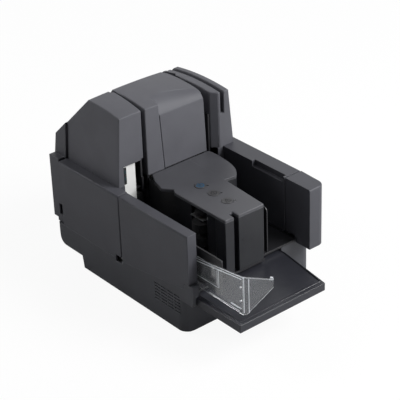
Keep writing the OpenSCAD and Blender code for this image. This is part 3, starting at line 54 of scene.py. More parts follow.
# Camera, from the photograph's vanishing lines: lengths in metres, angles in degrees
AIM = Vector((-0.006, 0.0048, 0.12))
DISTANCE = 1.979
AZIMUTH, ELEVATION, ROLL = -39.06, 29.64, -2.06
SENSOR_MM, LENS_MM = 36.0, 137.6

# Lamps: place in metres, power in watts, side in metres
LAMPS = {
    "key_light": ((1.05, -1.25, 1.45), 45.0, 1.1),
    "front_light": ((0.6, -2.0, 0.7), 12.0, 1.2),
    "top_light": ((-0.2, 0.3, 2.1), 3.0, 1.5),
    "left_light": ((-1.0, 1.35, 1.2), 13.0, 0.8),
    "back_light": ((1.3, 1.6, 1.0), 8.5, 1.6),
}
LAMP_AIM = Vector((0, 0, 0.12))
ROOM_GREY, ROOM_STRENGTH = (0.95, 0.97, 1.0, 1.0), 0.06
FLOOR_HALF = 6.0
FLOOR_GLOW = 0.92
WHITE = (1.0, 1.0, 1.0, 1.0)

# The clear guide's wing and bend, as in the frame
GUIDE_T = 2.4 * MM
WING_L, WING_ANGLE = 37 * MM, math.radians(45)
GUIDE_BEND_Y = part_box("clear_guide")[0].y + WING_L * math.cos(WING_ANGLE)

# Edges that turn more than SHARP_TURN are rounded, those under SMOOTH_TURN are shaded smooth, and
# those under FLAT_TURN are dissolved
SHARP_TURN = math.radians(32)
SMOOTH_TURN = math.radians(24)
FLAT_TURN = math.radians(0.6)

# Distances within which vertices are one, an edge is level with a height, an edge is on the hull,
# and an edge is on a casing's face; then the area per edge length of a narrow face
MERGE_GAP = 0.002 * MM
LEVEL_GAP = 0.02 * MM
HULL_GAP = 0.08 * MM
PLANE_GAP = 0.2 * MM
NARROW_FACE = 1.4 * MM

# Sockets of the colour mix node that its names don't tell apart
MIX_FACTOR, MIX_FIRST, MIX_SECOND, MIX_RESULT = 0, 6, 7, 2


class Signal:
    """A shader value on which arithmetic can be written."""

    def __init__(self, finish, socket):
        self.finish = finish
        self.socket = socket

    def apply(self, operation, first, second):
        return self.finish.add("ShaderNodeMath", {"operation": operation}, {0: first, 1: second}).out("Value")

    def __add__(self, other):
        return self.apply("ADD", self, other)

    def __sub__(self, other):
        return self.apply("SUBTRACT", self, other)

    def __rsub__(self, other):
        return self.apply("SUBTRACT", other, self)

    def __mul__(self, other):
        return self.apply("MULTIPLY", self, other)

    def ramp(self, low, high):
        """Goes smoothly from 0 to 1 while this value goes from low to high."""
        settings = {"interpolation_type": "SMOOTHSTEP"}
        values = {"Value": self, "From Min": low, "From Max": high}
        return self.finish.add("ShaderNodeMapRange", settings, values).out("Result")


class Placed:
    """A node that has been added to a finish."""

    def __init__(self, finish, node):
        self.finish = finish
        self.node = node

    def out(self, output):
        """The signal of an output, given by its name or its number."""
        return Signal(self.finish, self.node.outputs[output])


class Finish:
    """One procedural material, built node by node."""

    def __init__(self, name):
        self.material = bpy.data.materials.new(name)
        self.material.use_nodes = True
        self.tree = self.material.node_tree
        self.tree.nodes.clear()
        self.place = self.add("ShaderNodeTexCoord").out("Object")

    def add(self, kind, settings=None, values=None):
        """Adds a node of this kind, sets its settings, then fills or links its sockets."""
        node = self.tree.nodes.new(kind)
        for key, value in (settings or {}).items():
            setattr(node, key, value)
        for key, value in (values or {}).items():
            if isinstance(value, Signal):
                self.tree.links.new(value.socket, node.inputs[key])
            else:
                node.inputs[key].default_value = value
        return Placed(self, node)

    def noise(self, size, detail=2.0, roughness=0.5, stretch=(1, 1, 1)):
        """Noise whose blotches are about size metres across."""
        place = self.add("ShaderNodeMapping", {}, {"Vector": self.place, "Scale": stretch}).out("Vector")
        values = {"Vector": place, "Scale": 1.0 / size, "Detail": detail, "Roughness": roughness}
        return self.add("ShaderNodeTexNoise", {}, values).out("Fac")

    def blend(self, factor, first, second):
        """A colour that goes from first to second as factor goes from 0 to 1."""
        values = {MIX_FACTOR: factor}
        for socket, colour in ((MIX_FIRST, first), (MIX_SECOND, second)):
            values[socket] = (*colour, 1.0) if isinstance(colour, tuple) else colour
        settings = {"data_type": "RGBA", "clamp_factor": True}
        return self.add("ShaderNodeMix", settings, values).out(MIX_RESULT)

    def bump(self, height, depth, onto=None):
        """A normal that follows height, which is depth metres from its lowest to its highest."""
        values = {"Height": height, "Distance": depth}
        if onto is not None:
            values["Normal"] = onto
        return self.add("ShaderNodeBump", {}, values).out("Normal")

    def soft_edges(self, radius):
        """A normal that turns round edges over radius, and a value of 1 there and 0 on open faces."""
        soft = self.add("ShaderNodeBevel", {"samples": 6}, {"Radius": radius}).out("Normal")
        true = self.add("ShaderNodeNewGeometry").out("Normal")
        values = {0: soft, 1: true}
        dot = self.add("ShaderNodeVectorMath", {"operation": "DOT_PRODUCT"}, values).out("Value")
        return soft, (1.0 - dot).ramp(0.02, 0.25)

    def end(self, shader):
        """Ends the material in this shader."""
        self.add("ShaderNodeOutputMaterial", {}, {"Surface": shader})
        return self.material

    def surface(self, **sockets):
        """Ends the material in a Principled shader; underscores in names stand for spaces."""
        values = {key.replace("_", " "): value for key, value in sockets.items()}
        return self.end(self.add("ShaderNodeBsdfPrincipled", {}, values).out("BSDF"))


def shade(colour, times, plus=0.0):
    """A colour made paler or darker, kept at or under 1."""
    return tuple(min(1.0, part * times + plus) for part in colour)


def moulded(name, colour, roughness, depth=0.03 * MM, gloss=0.5, marks=0.25, edge_highlight=0.0):
    """Moulded plastic: an even spark-eroded grain, faint flow mottling, light handling marks, and a painted
    highlight that makes its edges paler, as strong as edge_highlight."""
    finish = Finish(name)
    pebble = finish.noise(0.3 * MM, 3.0, 0.6)
    flow = finish.noise(45 * MM, 3.0)
    touch = finish.noise(12 * MM, 5.0, 0.65)
    mottle = flow.ramp(0.3, 0.7) * 0.8 + pebble * 0.2
    tone = finish.blend(mottle, shade(colour, 0.92), shade(colour, 1.08, 0.001))
    worn = touch.ramp(0.62, 0.8) * marks
    tone = finish.blend(worn * 0.5, tone, shade(colour, 1.25, 0.01))
    rough = (pebble - 0.5) * 0.12 + (flow - 0.5) * 0.08 + roughness - worn * 0.12
    soft = None
    # Painted highlight: the colour turns about twice as pale on the edges the Bevel node finds, varied a
    # little by the handling-mark noise
    if edge_highlight:
        soft, rim = finish.soft_edges(1.1 * MM)
        rim = rim * (touch * 0.5 + 0.7) * edge_highlight
        tone = finish.blend(rim, tone, shade(colour, 2.0, 0.03))
        rough = rough - rim * 0.1
    return finish.surface(
        Base_Color=tone,
        Roughness=rough,
        Specular_IOR_Level=gloss,
        Normal=finish.bump(pebble, depth, soft),
    )


def satin_sheet(name, colour):
    """Zinc-plated sheet: a soft spangle and the faint streaks of its rolling."""
    finish = Finish(name)
    spangle = finish.noise(4 * MM, 2.0)
    streak = finish.noise(0.6 * MM, 2.0, 0.5, (0.06, 1, 1))
    return finish.surface(
        Base_Color=finish.blend(spangle.ramp(0.35, 0.65), shade(colour, 0.85), colour),
        Metallic=0.9,
        Roughness=streak * 0.2 + 0.32,
        Normal=finish.bump(streak, 0.01 * MM),
    )


def turned_metal(name, colour, roughness):
    """Turned steel or bronze: fine rings round the upright axis, with a little oil staining."""
    finish = Finish(name)
    rings = finish.noise(0.8 * MM, 2.0, 0.5, (0.1, 0.1, 3))
    stain = finish.noise(6 * MM, 3.0)
    return finish.surface(
        Base_Color=finish.blend(stain.ramp(0.5, 0.8) * 0.5, colour, shade(colour, 0.7)),
        Metallic=1.0,
        Roughness=rings * 0.18 + roughness,
        Normal=finish.bump(rings, 0.008 * MM),
    )


def ground_rubber(name, colour):
    """Ground rubber: matte, with a fine matted grain and paper dust in it."""
    finish = Finish(name)
    grain = finish.noise(0.35 * MM, 4.0, 0.7)
    dust = finish.noise(3 * MM, 4.0).ramp(0.5, 0.75)
    return finish.surface(
        Base_Color=finish.blend(dust * 0.35, colour, shade(colour, 1.0, 0.05)),
        Roughness=grain * 0.15 + 0.72,
        Specular_IOR_Level=0.3,
        Normal=finish.bump(grain, 0.05 * MM),
    )


def clear_plastic(name, whiteness, roughness):
    """Water-clear moulded plastic that scatters some white, with faint scratches and flow lines; a low
    whiteness is haze, and a high whiteness makes the white a painted highlight.
    """
    finish = Finish(name)
    scratch = finish.noise(0.8 * MM, 3.0, 0.6, (1, 0.08, 1.4)).ramp(0.6, 0.75)
    haze = finish.noise(20 * MM, 3.0)
    normal = finish.bump(scratch, 0.002 * MM)
    clear = finish.add("ShaderNodeBsdfPrincipled", {}, {
        "Base Color": finish.blend(haze * 0.4, (0.98, 0.99, 0.995), (0.93, 0.96, 0.975)),
        "Roughness": scratch * 0.04 + haze * 0.02 + roughness,
        "Transmission Weight": 1.0,
        "IOR": 1.49,
        "Normal": normal,
    }).out("BSDF")
    # Milky white shader: faint haze on the open faces, and a painted highlight where whiteness is high
    white_haze_and_highlight = finish.add("ShaderNodeBsdfPrincipled", {}, {
        "Base Color": finish.blend(haze, (0.72, 0.75, 0.79), (0.84, 0.87, 0.9)),
        "Roughness": haze * 0.2 + 0.2,
        "Normal": normal,
    }).out("BSDF")
    factor = scratch * 0.04 + (haze - 0.5) * 0.04 + whiteness
    return finish.end(finish.add("ShaderNodeMixShader", {}, {0: factor, 1: clear, 2: white_haze_and_highlight}).out("Shader"))


def sensor_glass(name):
    """Dark coated glass strip over a sensor's lamps."""
    finish = Finish(name)
    smear = finish.noise(10 * MM, 4.0)
    return finish.surface(
        Base_Color=finish.blend(smear, (0.03, 0.05, 0.055), (0.06, 0.09, 0.1)),
        Roughness=smear * 0.1 + 0.03,
        Specular_IOR_Level=0.8,
        Coat_Weight=1.0,
        Coat_Roughness=0.03,
    )


def circuit_board(name):
    """Green solder mask over copper traces, drawn by narrow bands of two crossed waves."""
    finish = Finish(name)
    wave = {"Vector": finish.place, "Scale": 260.0, "Distortion": 6.0, "Detail": 1.0}
    across = finish.add("ShaderNodeTexWave", {"bands_direction": "X"}, wave).out("Fac")
    along = finish.add("ShaderNodeTexWave", {"bands_direction": "Y"}, wave).out("Fac")
    area = finish.noise(20 * MM, 1.0).ramp(0.48, 0.52)
    trace = (across * (1.0 - area) + along * area).ramp(0.6, 0.7)
    return finish.surface(
        Base_Color=finish.blend(trace, (0.008, 0.06, 0.025), (0.03, 0.16, 0.06)),
        Roughness=0.32 - trace * 0.06,
        Normal=finish.bump(trace, 0.04 * MM),
    )


def printed_mark(name, colour):
    """Printed ink: flat colour, slightly broken at the grain of the plastic under it."""
    finish = Finish(name)
    grain = finish.noise(0.3 * MM, 3.0)
    return finish.surface(
        Base_Color=finish.blend(grain.ramp(0.3, 0.7), shade(colour, 0.85), colour),
        Roughness=grain * 0.15 + 0.45,
    )


FINISHES = {
    # edge_highlight is the strength of a painted highlight along each plastic's edges
    "shell": moulded("shell_plastic", (0.104, 0.105, 0.12), 0.58, gloss=0.4, edge_highlight=0.6),
    "deck": moulded("deck_plastic", (0.075, 0.076, 0.086), 0.46, 0.02 * MM, edge_highlight=0.5),
    "side": moulded("side_plastic", (0.064, 0.065, 0.077), 0.5, edge_highlight=0.4),
    "base": moulded("base_plastic", (0.059, 0.061, 0.071), 0.52, edge_highlight=0.3),
    "tray": moulded("tray_plastic", (0.028, 0.029, 0.037), 0.34, 0.012 * MM, marks=0.9, edge_highlight=1.0),
    "nose": moulded("nose_plastic", (0.02, 0.021, 0.025), 0.3, 0.008 * MM, 0.4, 0.3, edge_highlight=0.5),
    "inner": moulded("inner_plastic", (0.02, 0.02, 0.023), 0.4, 0.01 * MM),
    "white": moulded("white_plastic", (0.84, 0.84, 0.83), 0.4, 0.008 * MM, marks=0.1),
    "key": moulded("key_plastic", (0.058, 0.058, 0.062), 0.42, 0.01 * MM),
    "foot": ground_rubber("foot_rubber", (0.016, 0.016, 0.018)),
    "rubber": ground_rubber("roller_rubber", (0.022, 0.022, 0.024)),
    "steel": turned_metal("turned_steel", (0.56, 0.56, 0.58), 0.22),
    "bronze": turned_metal("bush_bronze", (0.5, 0.36, 0.17), 0.29),
    "sheet": satin_sheet("plated_sheet", (0.5, 0.51, 0.52)),
    "board": circuit_board("board_green"),
    "clear": clear_plastic("guide_clear", 0.05, 0.01),
    # Painted highlight: a milky white finish for the clear guide's narrow faces, rounds and beads
    "clear_edge_highlight": clear_plastic("guide_edge_highlight", 0.85, 0.12),
    "glass": sensor_glass("strip_glass"),
    "lamp": moulded("lamp_lens", (0.012, 0.012, 0.013), 0.25, 0.005 * MM, marks=0.0),
    "ink": printed_mark("key_ink", (0.014, 0.014, 0.016)),
    "blue_ink": printed_mark("power_ink", (0.02, 0.1, 0.2)),
}
SLOT_OF = {part["node"]: part["material_slot"] for part in frame["record"]["subparts"]}
BODY_OF = {node: body for body, nodes in frame["record"]["behaviour"]["bodies"].items() for node in nodes}


def dress(piece, finish):
    """Gives a piece one finish all over."""
    piece.data.materials.clear()
    piece.data.materials.append(FINISHES[finish])


def outermost(shape):
    """The edges of a shape that touch its convex hull: there the largest signed distance from the
    edge's middle to the planes of the hull is above minus HULL_GAP."""
    hull = bmesh.new()
    for vert in shape.verts:
        hull.verts.new(vert.co)
    bmesh.ops.convex_hull(hull, input=hull.verts)
    hull.normal_update()
    planes = np.array([(*face.normal, -face.normal.dot(face.verts[0].co)) for face in hull.faces])
    hull.free()
    middles = np.array([(edge.verts[0].co + edge.verts[1].co) / 2 for edge in shape.edges])
    reach = (middles @ planes[:, :3].T + planes[:, 3]).max(axis=1)
    return {edge for edge, value in zip(shape.edges, reach) if value > -HULL_GAP}


def limit_to_room(shape, weight, radius):
    """Lowers each rounded edge's share of the radius where the edges that leave its ends sideways are
    short: an edge that is rounded at both ends gives each of them less than half its length."""
    rounds = {edge for edge in shape.edges if edge[weight] > 0}
    crowded = {vert for edge in rounds for vert in edge.verts}
    shares = {}
    for edge in rounds:
        along = (edge.verts[1].co - edge.verts[0].co).normalized()
        room = radius
        for vert in edge.verts:
            for side in vert.link_edges:
                far = side.other_vert(vert)
                across = (far.co - vert.co).normalized()
                sideways = abs(across.dot(along)) < 0.8
                if side is not edge and sideways:
                    room = min(room, side.calc_length() * (0.45 if far in crowded else 0.9))
        shares[edge] = min(edge[weight], room / radius)
    for edge, share in shares.items():
        edge[weight] = share


def rounded(node, radius, flat_z=(), segments=3, softer=None, thin=None):
    """Stands for a CAD node with its outer edges rounded.

    The copy's doubles are merged and its flat faces joined. An edge is rounded where it is convex, on
    the outside of the piece, and its faces turn by more than SHARP_TURN, unless it lies in a level
    plane of flat_z, in metres.
    softer takes an edge's middle and direction, and gives the share of the radius that it gets. Where
    thin is given, narrow faces and the rounds take the finish of that name.
    """
    mesh = NODES[node].data.copy()
    shape = bmesh.new()
    shape.from_mesh(mesh)
    bmesh.ops.remove_doubles(shape, verts=shape.verts, dist=MERGE_GAP)
    bmesh.ops.dissolve_limit(shape, angle_limit=FLAT_TURN, verts=shape.verts, edges=shape.edges)
    weight = shape.edges.layers.float.new("bevel_weight_edge")
    outer = outermost(shape)
    for edge in shape.edges:
        turn = edge.calc_face_angle_signed(0.0) if len(edge.link_faces) == 2 else 0.0
        level = any(all(abs(vert.co.z - z) < LEVEL_GAP for vert in edge.verts) for z in flat_z)
        share = 1.0 if turn > SHARP_TURN and not level and edge in outer else 0.0
        if share and softer is not None:
            first, second = (vert.co for vert in edge.verts)
            share = softer((first + second) / 2, (second - first).normalized())
        edge[weight] = share
        edge.smooth = abs(turn) < SMOOTH_TURN
    limit_to_room(shape, weight, radius)
    for face in shape.faces:
        face.smooth = True
        length = sum(edge.calc_length() for edge in face.edges)
        face.material_index = 1 if thin and face.calc_area() < NARROW_FACE * length else 0
    shape.to_mesh(mesh)
    shape.free()
    piece = bpy.data.objects.new(node + "_rounded", mesh)
    bpy.context.scene.collection.objects.link(piece)
    bevel = piece.modifiers.new("edges", "BEVEL")
    bevel.limit_method = "WEIGHT"
    bevel.width = radius
    bevel.segments = segments
    bevel.use_clamp_overlap = False
    bevel.miter_outer = "MITER_ARC"
    bevel.material = 1 if thin else -1
    normals = piece.modifiers.new("normals", "WEIGHTED_NORMAL")
    normals.keep_sharp = True
    normals.weight = 80
    dress(piece, SLOT_OF[node])
    if thin:
        piece.data.materials.append(FINISHES[thin])
    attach(piece, BODY_OF[node])
    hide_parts(node)


def top_edge(side, height):
    """Picks a panel's top outer edge, in the upright plane x = side; upright edges get a quarter, and
    the others stay sharp."""
    def share(middle, along):
        on_side = abs(middle.x - side) < PLANE_GAP
        if on_side and middle.z > height - PLANE_GAP:
            return 1.0
        return 0.25 if abs(along.z) > 0.9 else 0.0
    return share


def outside(nodes, margin):
    """Leaves the edges within a margin of these nodes, in plan, sharp."""
    boxes = [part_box(node) for node in nodes]
    low = [min(box[0][i] for box in boxes) - margin for i in (0, 1)]
    high = [max(box[1][i] for box in boxes) + margin for i in (0, 1)]

    def share(middle, along):
        return 0.0 if all(low[i] < middle[i] < high[i] for i in (0, 1)) else 1.0
    return share


def arm_end(side, height, front):
    """Picks the arm's outer top edge and the edge round its front end, and leaves the others sharp."""
    corner_round, length = 12.5 * MM, 45 * MM

    def share(middle, along):
        outer = middle.x > side - corner_round or middle.y < front + PLANE_GAP
        near_end = middle.z > height - PLANE_GAP and middle.y < front + length
        return 1.0 if outer and near_end else 0.0
    return share


def tower_edges(low):
    """Picks a tower's upright edges and those at its front and left faces; low is its lowest corner."""
    front_depth, left_depth, left_length = 4 * MM, 1 * MM, 55 * MM

    def share(middle, along):
        upright = abs(along.z) > 0.7
        on_left = middle.x < low.x + left_depth and middle.y < low.y + left_length
        return 1.0 if upright or middle.y < low.y + front_depth or on_left else 0.0
    return share


def base_edges(low):
    """Picks the base's edges on its left wall and its front end, and leaves the vent slots in that
    wall and all hidden edges sharp; low is its lowest corner."""
    front_end, slot_foot = low.y + 16 * MM, 12 * MM

    def share(middle, along):
        on_wall = abs(middle.x - low.x) < PLANE_GAP or middle.y < front_end
        slot = middle.z > slot_foot and middle.y > front_end
        return 1.0 if on_wall and not slot else 0.0
    return share


def behind(y):
    """Leaves the edges in front of y sharp."""
    return lambda middle, along: 1.0 if middle.y > y else 0.0


def casings():
    """Rounded casings in place of the sharp solids."""
    left_corner, left_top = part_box("left_cover_panel")
    left, rim = left_corner.x, left_top.z
    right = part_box("right_cover_panel")[1].x
    arm_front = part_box("arm_front_panel")[0].y
    deck_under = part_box("deck_panel")[0].z
    tower_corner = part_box("centre_tower_shell")[0]
    base_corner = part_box("base_case")[0]
    wing_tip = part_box("clear_guide")[0].y + 4 * MM
    off_keys = outside(("power_key", "stop_key", "signal_lamps"), 1 * MM)
    rounded("left_tower_shell", 1.2 * MM, (rim,))
    rounded("centre_tower_shell", 1.4 * MM, (rim,), softer=tower_edges(tower_corner))
    rounded("right_tower_shell", 1.3 * MM, (rim,))
    rounded("left_cover_panel", 3.2 * MM, softer=top_edge(left, rim), segments=4)
    rounded("right_cover_panel", 2.6 * MM, softer=top_edge(right, rim), segments=4)
    rounded("feed_side_panel", 3.0 * MM, softer=top_edge(left, rim), segments=4)
    rounded("arm_front_panel", 2.6 * MM, softer=arm_end(right, rim, arm_front), segments=4)
    rounded("base_case", 1.2 * MM, softer=base_edges(base_corner))
    rounded("deck_panel", 1.2 * MM, (deck_under,), softer=off_keys)
    rounded("nose_case", 0.9 * MM, (deck_under,))
    rounded("document_tray", 0.6 * MM)
    # The guide's narrow faces and rounds take a milky white finish: a painted highlight
    rounded("clear_guide", 0.3 * MM, softer=behind(wing_tip), thin="clear_edge_highlight")
    rounded("pocket_floor", 0.3 * MM)
    rounded("pressure_plate", 0.5 * MM)
    rounded("stacker_flap", 0.5 * MM)
    for node in ("power_key", "start_key", "stop_key"):
        rounded(node, 0.3 * MM)


def closed_piece(name, points, faces, owner):
    """Makes a closed piece from its points and outward faces; owner is its body, its finish and its slot in
    the record, and the slot is not used."""
    body, finish, slot = owner
    mesh = bpy.data.meshes.new(name)
    mesh.from_pydata(np.asarray(points).tolist(), [], faces)
    piece = bpy.data.objects.new(name, mesh)
    bpy.context.scene.collection.objects.link(piece)
    dress(piece, finish)
    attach(piece, body)


def bead(name, path, across, up, owner):
    """A moulded bead: an ellipse carried along a path.

    At each point of the path, the ring is the point plus across times the cosine and up times the
    sine of an angle that goes once round. Both ends are closed by one face.
    """
    count = 10
    path = np.asarray(path, float)
    angle = np.linspace(0, 2 * np.pi, count, endpoint=False)
    ring = np.outer(np.cos(angle), across) + np.outer(np.sin(angle), up)
    points = path[:, None, :] + ring[None, :, :]
    if np.dot(np.cross(across, up), path[-1] - path[0]) < 0:
        points = points[:, ::-1]
    step, turn = np.meshgrid(np.arange(len(path) - 1), np.arange(count), indexing="ij")
    after = (turn + 1) % count
    quads = np.stack([step * count + turn, step * count + after,
                      (step + 1) * count + after, (step + 1) * count + turn], axis=-1).reshape(-1, 4)
    last = (len(path) - 1) * count
    faces = quads.tolist() + [list(range(count))[::-1], list(range(last, last + count))]
    closed_piece(name, points.reshape(-1, 3), faces, owner)


def slab(name, outline, along_u, along_v, origin, thickness, owner):
    """A flat slab: an outline of (u, v) pairs laid from origin along two directions, and carried by
    thickness along their cross product."""
    u, v = np.asarray(along_u, float), np.asarray(along_v, float)
    flat = np.asarray(outline, float)
    lower = np.asarray(origin, float) + flat[:, :1] * u + flat[:, 1:] * v
    count = len(flat)
    ring = np.arange(count)
    after = (ring + 1) % count
    points = np.vstack([lower, lower + np.cross(u, v) * thickness])
    sides = np.column_stack([ring, after, after + count, ring + count]).tolist()
    closed_piece(name, points, sides + [ring[::-1].tolist(), (ring + count).tolist()], owner)


def stroke(points, width):
    """The outline of a line of this width through the given points: each side is the points moved
    along the local normal by half the width."""
    points = np.asarray(points, float)
    along = np.gradient(points, axis=0)
    along /= np.linalg.norm(along, axis=1)[:, None]
    normal = np.column_stack([-along[:, 1], along[:, 0]]) * width / 2
    return np.vstack([points - normal, (points + normal)[::-1]])


def arc(centre, radius, start, stop, count=24):
    """Points on a circle between two angles in degrees."""
    angle = np.radians(np.linspace(start, stop, count))
    return np.column_stack([centre[0] + radius * np.cos(angle), centre[1] + radius * np.sin(angle)])


def rounded_box(width, height, radius):
    """The outline of a rectangle about the origin with its corners rounded: a quarter circle at each."""
    corners = ((1, 1, 0), (-1, 1, 90), (-1, -1, 180), (1, -1, 270))
    return np.vstack([
        arc((right * (width / 2 - radius), up * (height / 2 - radius)), radius, start, start + 90, 5)
        for right, up, start in corners
    ])


def guide_trim():
    """Beads, ribs, frame lines and the hook moulded on the clear guide's wall and wing."""
    low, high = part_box("clear_guide")
    outer, inner = low.x, low.x + GUIDE_T
    bend = np.array([outer, GUIDE_BEND_Y, 0.0])
    wing = np.array([math.cos(WING_ANGLE), -math.sin(WING_ANGLE), 0.0])
    face = np.array([math.sin(WING_ANGLE), math.cos(WING_ANGLE), 0.0])
    rise = np.array([0, 0, 1.0])
    # The beads, ribs and hook take the milky white edge finish: a painted highlight along them
    owner = (BODY_OF["clear_guide"], "clear_edge_highlight", "clear")
    thin = (0.45 * MM, 0, 0)

    def on_wall(name, x, points, across, up):
        """A bead through points given as (millimetres behind the bend, height in metres)."""
        path = [(x, GUIDE_BEND_Y + run * MM, z) for run, z in points]
        bead("guide_" + name, path, across, up, owner)

    top = high.z - 4.2 * MM
    slope = [(3, top), (40, top - 5.2 * MM), (92, top - 12.4 * MM)]
    on_wall("second_line", inner, slope, thin, (0, 0, 0.7 * MM))
    foot = low.z + 3.5 * MM
    on_wall("foot_strip", outer, [(6, foot), (62, foot)], thin, (0, 0, 0.6 * MM))
    rib = foot + 3 * MM
    on_wall("foot_rib", inner, [(5, rib), (23, rib)], (1.2 * MM, 0, 0), (0, 0, 0.8 * MM))

    for index, (run, drop) in enumerate(((1.5, 1.5), (7.5, 3.0))):
        start = bend + wing * run * MM + face * (GUIDE_T - 0.1 * MM)
        path = [start + rise * (low.z + 2.5 * MM), start + rise * (high.z - drop * MM)]
        bead(f"guide_pillar_{index}", path, wing * 0.55 * MM, face * 0.6 * MM, owner)

    proud = inner + 0.8 * MM
    near, end, inset = 46, 87, 2.5
    base, head = low.z + 16.7 * MM, low.z + 42.7 * MM
    upright, level = (0, 0.4 * MM, 0), (0, 0, 0.4 * MM)
    inside = [(near + inset, base + inset * MM), (near + inset, head - inset * MM)]
    on_wall("frame_front", proud, [(near, base), (near, head)], thin, upright)
    on_wall("frame_front_inside", proud, inside, thin, upright)
    on_wall("frame_head", proud, [(near, head), (end, head)], thin, level)
    on_wall("frame_base", proud, [(near, base), (end, base)], thin, level)

    hook = np.array([(0, 0), (5.3, 0), (5.3, 2.8), (4.0, 3.6), (1.6, 3.9), (1.2, 1.2)]) * MM
    tip = bend + wing * (WING_L - 5.5 * MM) + face * GUIDE_T * 0.9 + rise * (high.z - 2.6 * MM)
    slab("guide_hook", hook, wing, rise, tip, 0.8 * GUIDE_T, owner)


def gate_bracket():
    """The dark sensor bracket on the gate plate's left edge, with its two windows."""
    low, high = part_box("gate_plate")
    body = BODY_OF["gate_plate"]
    width, height, depth = 4.6 * MM, 24 * MM, 1.15 * MM
    back = low.y + 0.05 * MM
    centre = low.x - 1.6 * MM + width / 2
    middle = high.z - 1.5 * MM - height / 2
    to_right, up = (1, 0, 0), (0, 0, 1)
    outline = rounded_box(width, height, 0.8 * MM)
    slab("gate_bracket", outline, to_right, up, (centre, back, middle), depth, (body, "inner", "inner"))
    window = rounded_box(3.0 * MM, 4.8 * MM, 1.1 * MM)
    sunk = back - depth + 0.06 * MM
    for index, z in enumerate((middle + 6 * MM, middle - 3.4 * MM)):
        place = (centre + 0.3 * MM, sunk, z)
        slab(f"gate_window_{index}", window, to_right, up, place, 0.3 * MM, (body, "glass", "inner"))


def sides(corners):
    """The sides of a closed outline, each as its two ends, with a line width of 1."""
    return [((corner, after), 1) for corner, after in zip(corners, corners[1:] + corners[:1])]


def key_marks():
    """Generic signs printed on the three keys: power, start and stop.

    Each sign is a list of lines about the key's middle, given in units of size, with their widths in
    units of line.
    """
    line, size = 1.15 * MM, 3.6 * MM
    proud, sunk = 0.06 * MM, 0.02 * MM
    signs = {
        "power_key": [(arc((0, 0), 1.25, 125, 415), 1.5),
                      ([(0, 0.2), (0, 1.6)], 1.5),
                      (arc((0, 0), 0.35, 0, 350), 1)],
        "start_key": sides([(0, -1.3), (1.3, 0), (0, 1.3), (-1.3, 0)]) + [([(0, -0.6), (0, 0.6)], 1)],
        "stop_key": sides([(-1.2, -0.9), (1.2, -0.9), (0, 1.25)]) + [([(0, -0.45), (0, 0.35)], 1)],
    }
    for node, lines in signs.items():
        low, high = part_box(node)
        centre = ((low + high) / 2).xy
        owner = (BODY_OF[node], "blue_ink" if node == "power_key" else "ink", "key")
        for index, (points, width) in enumerate(lines):
            outline = stroke(np.asarray(points) * size + centre, width * line)
            slab(f"{node}_mark_{index}", outline, (1, 0, 0), (0, 1, 0), (0, 0, high.z - sunk),
                 proud + sunk, owner)


def stage():
    """A pale floor that is near white to the camera and keeps a soft contact shadow."""
    finish = Finish("pale_floor")
    path = finish.add("ShaderNodeLightPath")
    either = {0: path.out("Is Camera Ray"), 1: path.out("Is Transmission Ray")}
    seen = finish.add("ShaderNodeMath", {"operation": "MAXIMUM"}, either).out("Value")
    tone = finish.blend(finish.noise(0.4, 2.0), (0.6, 0.6, 0.6), (0.63, 0.63, 0.63))
    tone = finish.blend(seen, tone, WHITE[:3])
    paint = finish.add("ShaderNodeBsdfDiffuse", {}, {"Color": tone}).out("BSDF")
    glow = finish.add("ShaderNodeEmission", {}, {"Color": WHITE}).out("Emission")
    finish.end(finish.add("ShaderNodeMixShader", {}, {0: seen * FLOOR_GLOW, 1: paint, 2: glow}).out("Shader"))
    corners = [(x * FLOOR_HALF, y * FLOOR_HALF, 0) for x, y in ((-1, -1), (1, -1), (1, 1), (-1, 1))]
    mesh = bpy.data.meshes.new("floor")
    mesh.from_pydata(corners, [], [(0, 1, 2, 3)])
    floor = bpy.data.objects.new("floor", mesh)
    bpy.context.scene.collection.objects.link(floor)
    mesh.materials.append(finish.material)


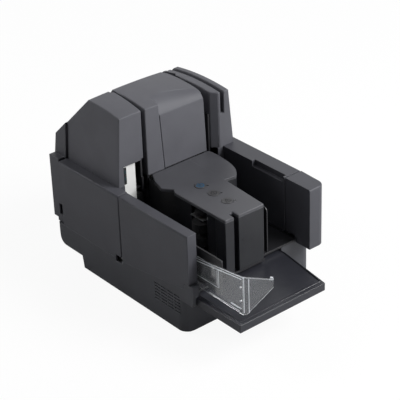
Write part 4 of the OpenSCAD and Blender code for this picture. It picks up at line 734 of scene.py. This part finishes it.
def sky():
    """A plain grey room that the camera and clear plastic see as white."""
    world = bpy.data.worlds.new("studio")
    bpy.context.scene.world = world
    world.use_nodes = True
    tree = world.node_tree
    tree.nodes.clear()
    path = tree.nodes.new("ShaderNodeLightPath")
    either = tree.nodes.new("ShaderNodeMath")
    either.operation = "MAXIMUM"
    grey = tree.nodes.new("ShaderNodeBackground")
    grey.inputs["Color"].default_value = ROOM_GREY
    grey.inputs["Strength"].default_value = ROOM_STRENGTH
    white = tree.nodes.new("ShaderNodeBackground")
    white.inputs["Color"].default_value = WHITE
    mix = tree.nodes.new("ShaderNodeMixShader")
    output = tree.nodes.new("ShaderNodeOutputWorld")
    tree.links.new(path.outputs["Is Camera Ray"], either.inputs[0])
    tree.links.new(path.outputs["Is Transmission Ray"], either.inputs[1])
    tree.links.new(either.outputs[0], mix.inputs[0])
    tree.links.new(grey.outputs[0], mix.inputs[1])
    tree.links.new(white.outputs[0], mix.inputs[2])
    tree.links.new(mix.outputs[0], output.inputs["Surface"])


def softbox(name, place, power, size):
    """A square area lamp at place that faces LAMP_AIM."""
    lamp = bpy.data.lights.new(name, "AREA")
    lamp.energy = power
    lamp.size = size
    holder = bpy.data.objects.new(name, lamp)
    holder.location = place
    holder.rotation_euler = (LAMP_AIM - Vector(place)).to_track_quat("-Z", "Y").to_euler()
    bpy.context.scene.collection.objects.link(holder)


def photo_camera():
    """The camera at the photograph's angle: it looks at AIM from DISTANCE, turned by ROLL."""
    lens = bpy.data.cameras.new("photo_camera")
    lens.sensor_width = SENSOR_MM
    lens.lens = LENS_MM
    camera = bpy.data.objects.new("photo_camera", lens)
    turn = Matrix.Rotation(math.radians(AZIMUTH), 4, "Z")
    tilt = Matrix.Rotation(math.radians(90 - ELEVATION), 4, "X")
    roll = Matrix.Rotation(math.radians(ROLL), 4, "Z")
    back = Matrix.Translation((0, 0, DISTANCE))
    camera.matrix_world = Matrix.Translation(AIM) @ turn @ tilt @ back @ roll
    bpy.context.scene.collection.objects.link(camera)
    bpy.context.scene.camera = camera


for node, piece in NODES.items():
    dress(piece, SLOT_OF[node])
casings()
guide_trim()
gate_bracket()
key_marks()
stage()
sky()
for name, (place, power, size) in LAMPS.items():
    softbox(name, place, power, size)
photo_camera()
bpy.context.scene.view_settings.view_transform = "Standard"
